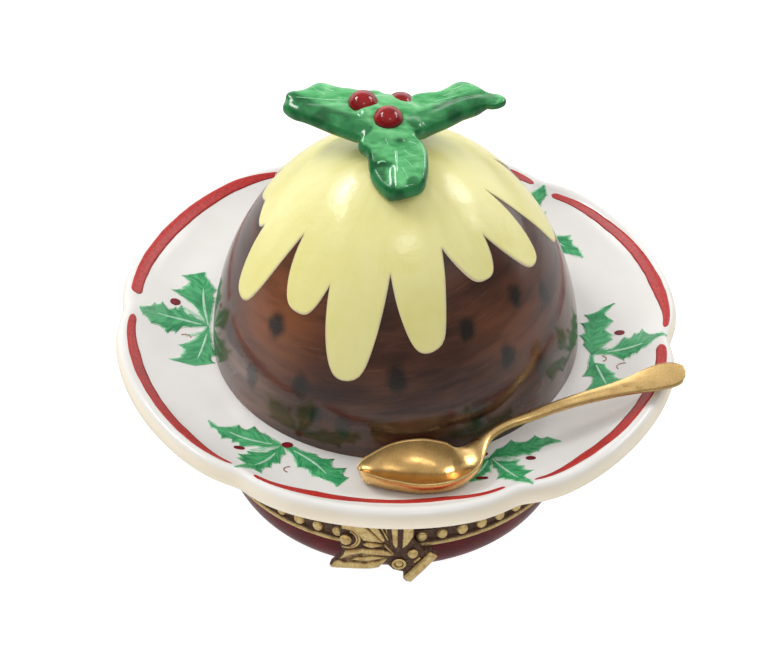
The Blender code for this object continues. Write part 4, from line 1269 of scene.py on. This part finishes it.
BEADS = 54
BEAD_START = 2.1                  # degrees
BEAD_R = 0.71
BEAD_RISE = 0.60


def bezel(name, low, high, material, replaced, upside_down=False):
    """A hoop with a rubbed rim at its foot, and a row of beads above it in a dark channel."""
    def level(share):
        return high - share * (high - low) if upside_down else low + share * (high - low)

    inner, hollow, rim = SPIGOT_R + 0.3, BEZEL_R - 0.12, BEZEL_OUTER_R
    # radius, share of the height and how dark it is
    # The dark end at the split line is painted shade under the plate's overhang as well as patina in the
    # seam.
    stops = [
        (inner, 0.0, 0.4), (rim - 0.12, 0.0, 0.25), (rim, 0.04, 0.3), (rim + 0.02, 0.09, 0.3),
        (rim, 0.13, 0.3), (rim - 0.10, 0.17, 0.45), (rim - 0.22, 0.22, 0.75), (hollow, 0.25, 0.9),
        (hollow, 0.93, 0.9), (rim - 0.1, 0.96, 1.0), (rim - 0.1, 1.0, 1.0), (inner, 1.0, 0.8),
    ]
    shape = Shape()
    path = [(radius, level(share)) for radius, share, _ in stops]
    cavities = [cavity for _, _, cavity in stops]
    shape.lathe(path + path[:1], 240, cavities + cavities[:1])
    middle = level(0.535)
    for k in range(BEADS):
        turn = Matrix.Rotation(math.radians(BEAD_START + k * 360 / BEADS), 3, "Z")
        rows, uvs = [], []
        size = 1 + 0.05 * math.sin(k * 2.3)
        for i in range(9):
            rise = math.pi / 2 * i / 8
            out = BEAD_RISE * math.sin(rise) ** 0.8
            wide = BEAD_R * size * math.cos(rise) ** 0.5 if i < 8 else 0.0
            radius = hollow - 0.08 + out
            rows.append([turn @ Vector((radius, wide * math.cos(a), middle + wide * 1.06 * math.sin(a)))
                         for a in turns(20)])
            uvs.append([(max(0.0, 1.0 - out / 0.26), 0.5)] * 20)
        shape.net(rows, uvs, around=True)
    piece(name, shape.mesh(name), material, [replaced], 40)


CLASP_BASE_R = 23.12
CLASP_WRAP_R = 23.6               # turns a width on the flat clasp into an angle
# the dark casting behind, as an outline on the flat clasp, whose split line is at height 0
CLASP_BACK = [
    (-5.3, 2.55), (3.95, 2.55), (3.95, 0.1), (3.7, -0.7), (4.3, -1.5), (4.8, -2.2), (5.2, -2.7),
    (5.9, -2.5), (6.5, -3.1), (6.75, -3.75), (3.5, -7.6), (3.0, -7.75), (2.6, -7.3), (2.55, -6.0),
    (2.0, -5.85), (1.3, -5.6), (0.8, -5.0), (0.35, -4.4), (0.1, -4.65), (-0.4, -5.2), (-1.5, -5.55),
    (-3.9, -5.9), (-6.35, -6.4), (-6.7, -6.2), (-6.6, -5.8), (-5.8, -4.7), (-5.15, -3.9), (-5.0, -3.1),
    (-5.3, -2.2), (-5.35, -1.4), (-5.3, -0.4), (-5.2, 0.4),
]
# the rubbed panels on it
CLASP_PANELS = [
    [(-5.15, 2.5), (-3.0, 2.5), (-2.1, 1.65), (-0.2, -0.35), (0.2, -0.85), (-0.4, -0.78), (-1.4, -0.75),
     (-2.3, -0.65), (-2.75, 0.1), (-3.35, 0.62), (-4.3, 0.8), (-4.95, 1.0)],
    [(-2.4, 2.5), (-0.9, 2.5), (0.38, -0.4), (0.12, -0.7)],
    [(-0.55, 2.5), (-0.28, 2.5), (0.86, -0.36), (0.6, -0.32)],
    [(0.05, 2.5), (0.5, 2.5), (0.78, 0.2), (0.55, 0.7)],
    [(1.05, 2.5), (1.95, 2.5), (1.9, -1.35), (1.68, -1.75), (1.28, -1.0)],
    [(2.57, 2.5), (3.8, 2.5), (3.78, 0.26), (3.42, -0.5), (3.1, -1.1), (2.44, -1.75)],
    [(-2.4, -1.3), (-1.44, -0.98), (-0.4, -1.08), (0.1, -1.3), (-1.2, -1.8), (-1.9, -1.68)],
    [(0.15, -1.15), (0.4, -1.2), (1.46, -2.6), (1.3, -2.78)],
    [(-4.55, -2.95), (-3.6, -2.6), (-2.4, -2.15), (-1.0, -2.12), (0.2, -2.08), (0.9, -2.4), (1.5, -2.88),
     (0.84, -2.98), (-0.72, -2.92), (-2.4, -2.82), (-3.88, -3.45), (-4.9, -4.3), (-5.3, -4.45),
     (-4.8, -3.74)],
    [(-6.45, -6.05), (-5.75, -4.98), (-5.2, -4.75), (-4.5, -4.85), (-3.64, -4.5), (-2.4, -4.62),
     (-1.2, -4.25), (-0.24, -3.9), (0.72, -3.25), (0.48, -3.76), (0.0, -4.45), (-0.4, -5.0),
     (-1.44, -5.35), (-3.89, -5.7), (-6.28, -6.2)],
    [(-4.3, -4.5), (-3.14, -3.75), (-1.2, -3.28), (0.6, -3.16), (-0.48, -3.62), (-1.93, -4.1),
     (-3.39, -4.18)],
]
# the hollow of the lowest leaf
LEAF_GROUND = [
    (-6.2, -6.0), (-5.6, -4.9), (-4.9, -4.2), (-4.4, -3.2), (-3.4, -2.7), (-1.0, -2.5), (0.8, -2.8),
    (0.6, -3.5), (0.0, -4.4), (-0.4, -4.9), (-1.4, -5.25), (-3.9, -5.6),
]


def wrap(across, up, out):
    """A point of the flat clasp, wrapped round the bezels at -Y."""
    angle = across / CLASP_WRAP_R
    radius = CLASP_BASE_R + out
    return Vector((radius * math.sin(angle), -radius * math.cos(angle), SPLIT_Z + up))


def clasp_slab(shape, outline, low, high, tone=0.05):
    """A raised part of the clasp with softened edges; tone 0 is rubbed bright, 1 is dark."""
    def place(x, y, away):
        edge = min(away / 0.16, 1.0)
        rise = high - (1 - math.sqrt(1 - (1 - edge) ** 2)) * min(0.3, (high - low) * 0.8)
        rise += 0.04 * lumps((x, y, high), 1.0, 4.0) * edge
        mark = tone + (1 - tone) * 0.5 * (1 - edge) + 0.15 * lumps((x, y, high), 0.6, 9.0)
        return wrap(x, y, rise), wrap(x, y, low), mark
    shape.slab(outline, place, 0.4, 0.16, (0.05, 0.15))


def clasp_ball(shape, across, up, radius, out, flat):
    """A rubbed ball for a berry, flattened by flat."""
    rows, uvs = [], []
    for i in range(17):
        rise = math.pi * i / 16 - math.pi / 2
        height = out + radius * flat * math.sin(rise)
        wide = radius * math.cos(rise) ** 0.8 if abs(rise) < math.pi / 2 else 0.0
        rows.append([wrap(across + wide * math.cos(a), up + wide * math.sin(a), height)
                     for a in turns(24)])
        uvs.append([(ramp01(math.sin(rise), 0.62, 0.05), 0.0)] * 24)
    shape.net(rows, uvs, around=True)


def clasp_ring(shape, across, up, radius, thick, out, arc=(0.0, TAU)):
    """A round wire bent into a ring, or into an arc of one."""
    rows, uvs = [], []
    closed = arc[1] - arc[0] >= TAU - 0.01
    steps = 40
    for i in range(steps if closed else steps + 1):
        a = arc[0] + (arc[1] - arc[0]) * i / steps
        row, marks = [], []
        for b in turns(12):
            wide = radius + thick * math.cos(b)
            row.append(wrap(across + wide * math.cos(a), up + wide * math.sin(a), out + thick * math.sin(b)))
            marks.append((ramp01(math.sin(b), 0.5, 0.0), 0.0))
        rows.append(row)
        uvs.append(marks)
    shape.net(rows, uvs, around=True, closed=closed)


def clasp_rod(shape, start, end, radius, out, cavity=0.0, squash=1.0):
    """A round bar between two points of the flat clasp."""
    start, end = Vector(start), Vector(end)
    tangent = (end - start).normalized()
    normal = Vector((-tangent.y, tangent.x))
    rows, uvs = [], []
    middle = [(i / 20, 1.0) for i in range(21)]
    for share, size in [(-0.02, 0.0), (-0.02, 0.8), *middle, (1.02, 0.8), (1.02, 0.0)]:
        here = start.lerp(end, share)
        row = []
        for b in turns(20):
            spot = here + normal * radius * size * math.cos(b)
            row.append(wrap(spot.x, spot.y, out + radius * size * squash * math.sin(b)))
        rows.append(row)
        uvs.append([(max(cavity, ramp01(math.sin(b), 0.2, -0.4) * 0.8), 0.0) for b in turns(20)])
    shape.net(rows, uvs, around=True)


def make_clasp(material):
    shape = Shape()
    clasp_slab(shape, CLASP_BACK, -0.1, 0.62, 1.0)
    clasp_slab(shape, LEAF_GROUND, 0.3, 0.72, 0.56)
    for outline in CLASP_PANELS:
        clasp_slab(shape, outline, 0.3, 1.02)
    clasp_ball(shape, -4.4, -0.83, 0.78, 0.8, 0.95)
    clasp_ring(shape, -4.4, -0.83, 1.30, 0.11, 0.70, (-1.1, 1.2))
    clasp_ring(shape, -4.4, -0.83, 1.62, 0.16, 0.62, (-1.9, 1.9))
    clasp_ring(shape, 2.04, -4.32, 0.72, 0.17, 0.92)
    clasp_ball(shape, 2.04, -4.32, 0.52, 0.66, 0.9)
    clasp_ball(shape, 3.7, -2.65, 0.70, 0.72, 0.95)
    clasp_rod(shape, (4.6, -3.6), (3.9, -4.3), 0.16, 0.7, 0.3)
    clasp_rod(shape, (3.12, -6.95), (6.22, -3.22), 0.62, 0.78, 0.0, 0.8)
    piece("holly_clasp", shape.mesh("holly_clasp"), material, ["clasp"], 50)


HINGE_LENGTH = 12.0
KNUCKLES = 5
KNUCKLE_R = 1.28
PIN_R = 0.55


def make_hinge(material):
    """Five knuckles on a pin behind the split line, with their leaves on the bezels."""
    shape = Shape()
    centre = Vector((0, BEZEL_OUTER_R + 1.6, SPLIT_Z))
    place = Matrix.Translation(centre) @ Matrix.Rotation(math.radians(90), 4, "Y")
    end = HINGE_LENGTH / 2
    size = HINGE_LENGTH / KNUCKLES
    for i in range(KNUCKLES):
        low, high = -end + i * size + 0.04, -end + (i + 1) * size - 0.04
        path = [(PIN_R, low), (1.12, low), (1.27, low + 0.12), (KNUCKLE_R, (low + high) / 2),
                (1.27, high - 0.12), (1.12, high), (PIN_R, high), (PIN_R, low)]
        shape.lathe(path, 40, [0.9, 0.6, 0.1, 0.0, 0.1, 0.6, 0.9, 0.9], place)
    tip = end + 0.1
    pin = [(0, -tip), (0.45, -tip), (PIN_R, -end), (PIN_R, end), (0.45, tip), (0, tip)]
    shape.lathe(pin, 24, [0.2, 0.2, 0.3, 0.3, 0.2, 0.2], place)
    near, far = 22.7, 23.25
    for low, high in ((7.2, 9.5), (9.9, 12.0)):
        rows = []
        for i in range(25):
            angle = math.radians(90 + 14.5 * (2 * i / 24 - 1))
            ring = [(near, low), (far - 0.1, low), (far, low + 0.1), (far, high - 0.1), (far - 0.1, high),
                    (near, high)]
            rows.append([(r * math.cos(angle), r * math.sin(angle), z) for r, z in ring])
        marks = [[(0.6, 0), (0.3, 0), (0.0, 0), (0.0, 0), (0.3, 0), (0.6, 0)]] * 25
        shape.net(rows, marks, around=True)
        for row in (rows[0], rows[-1]):
            middle = sum((Vector(p) for p in row), Vector()) / len(row)
            shape.net([row, [middle] * len(row)], [[(0.3, 0.0)] * len(row)] * 2, around=True)
    piece("hinge_barrel", shape.mesh("hinge_barrel"), material, ["hinge"], 40)


# --------------------------------------------------------- light and camera

FLOOR_GLOW = 0.95
SKY = {"front": 0.15, "top": 0.5, "back": 1.7}
TARGET = Vector((0, 0, 0.035))    # where the lights point, in metres
LIGHT_DISTANCE = 0.55
CAMERA_ELEVATION = 41.6           # degrees
CAMERA_SWING = 4.0
CAMERA_DISTANCE = 0.6
CAMERA_AIM = Vector((-1.556, 0, 22.05)) * MM
SENSOR = 36
LENS = 4840 / 766 * SENSOR
BOXES = [
    # name, azimuth and elevation in degrees, width, height, power, mirrored in the glaze
    ("box_left", -116, 50, 0.21, 0.13, 1.12, True),
    ("box_right", 125, 41, 0.21, 0.13, 0.58, True),
    ("spark_left", -90, 51, 0.09, 0.06, 0.14, True),
    ("spark_right", 104, 36, 0.07, 0.05, 0.10, True),
    ("box_top", -165, 66, 0.14, 0.14, 0.4, False),
    ("overhead", 20, 60, 0.09, 0.09, 0.21, True),
    ("fill", -24, 28, 0.60, 0.40, 0.70, False),
]


def make_sky(world):
    """Bright behind, dimmer overhead, and dark in front near the horizon."""
    world.use_nodes = True
    tree = world.node_tree

    def eased(value, low, high):
        return add_node(tree, "MapRange", {"Value": value, "From Min": low, "From Max": high},
                        interpolation_type="SMOOTHSTEP")

    way = add_node(tree, "TexCoord", {}, "Generated")
    axes = add_node(tree, "SeparateXYZ", {0: way}).node.outputs
    behind, high = eased(axes[1], 0.10, 0.55), eased(axes[2], 0.40, 0.65)
    level = add_node(tree, "Mix", {0: behind, 2: SKY["front"], 3: SKY["back"]})
    level = add_node(tree, "Mix", {0: high, 2: level, 3: SKY["top"]})
    back = tree.nodes["Background"]
    back.inputs["Color"].default_value = (1, 1, 1, 1)
    tree.links.new(level, back.inputs["Strength"])


def floor_plane(name, centre_y, height, material):
    """A square sheet of floor, which isn't part of the object."""
    reach = 1.2
    mesh = bpy.data.meshes.new(name)
    corners = [(-reach, -reach), (reach, -reach), (reach, reach), (-reach, reach)]
    mesh.from_pydata([(x, y, height) for x, y in corners], [], [(0, 1, 2, 3)])
    mesh.materials.append(material)
    made = bpy.data.objects.new(name, mesh)
    made.location = (0, centre_y, 0)
    bpy.context.scene.collection.objects.link(made)
    return made


def make_table():
    """A grey table for the glaze to reflect, under a bright sheet that reflections don't show."""
    white = (1, 1, 1, 1)
    p = Paint("table", Base_Color=(0.32, 0.32, 0.32, 1), Roughness=0.9, Emission_Color=white)
    where = p.node("TexCoord", {}, "Object")
    away = p.node("VectorMath", {0: where}, "Value", operation="LENGTH")
    backward = p.math("MULTIPLY_ADD", p.math("ABSOLUTE", p.split(where, 0)), 0.8, p.split(where, 1))
    glow = p.times(p.spread(away, 0.045, 0.10), p.spread(backward, 0.0, 0.06, 0.0, 0.12))
    floor_plane("floor", 0, -0.0002, p.settings(Emission_Strength=glow))
    p = Paint("white_table", Base_Color=(0.3, 0.3, 0.3, 1), Roughness=0.9, Emission_Color=white)
    near = p.node("VectorMath", {0: p.node("TexCoord", {}, "Object")}, "Value", operation="LENGTH")
    bright = p.settings(Emission_Strength=p.spread(near, 0.12, 0.20, FLOOR_GLOW, 0.4))
    sheet = floor_plane("floor_glow", 0.03, 0.0, bright)
    sheet.visible_glossy = False
    sheet.visible_shadow = False


def make_lights():
    for name, azimuth, elevation, width, height, power, mirrored in BOXES:
        light = bpy.data.lights.new(name, "AREA")
        light.shape = "ELLIPSE"
        light.size, light.size_y = width, height
        light.energy = power
        lamp = bpy.data.objects.new(name, light)
        bpy.context.scene.collection.objects.link(lamp)
        az, el = math.radians(azimuth), math.radians(elevation)
        way = Vector((math.sin(az) * math.cos(el), -math.cos(az) * math.cos(el), math.sin(el)))
        lamp.location = TARGET + way * LIGHT_DISTANCE
        lamp.visible_glossy = mirrored
        lamp.rotation_euler = (-way).to_track_quat("-Z", "Y").to_euler()


def make_camera():
    data = bpy.data.cameras.new("camera")
    data.sensor_width = SENSOR
    data.lens = LENS
    data.clip_start = 0.01
    camera = bpy.data.objects.new("camera", data)
    bpy.context.scene.collection.objects.link(camera)
    bpy.context.scene.camera = camera
    elevation = math.radians(CAMERA_ELEVATION)
    swing = Matrix.Rotation(math.radians(CAMERA_SWING), 3, "Z")
    forward = swing @ Vector((0, math.cos(elevation), -math.sin(elevation)))
    camera.location = swing @ CAMERA_AIM - forward * CAMERA_DISTANCE
    camera.rotation_euler = forward.to_track_quat("-Z", "Y").to_euler()


scene = bpy.context.scene
scene.view_settings.view_transform = "Standard"
scene.world = bpy.data.worlds.new("studio")
make_sky(scene.world)
make_table()
make_lights()
make_camera()

plate_surface = make_plate()
make_foot()
make_painting(plate_surface)
make_pudding()
make_custard()
make_sprig_veins(make_moulding())
make_berries()
make_spoon()
brass_finish = brass()
bezel("beaded_bezel_lower", 6.9, 9.55, brass_finish, "lower_bezel")
bezel("beaded_bezel_upper", 9.85, 12.3, brass_finish, "upper_bezel", True)
make_clasp(brass_finish)
make_hinge(brass_finish)
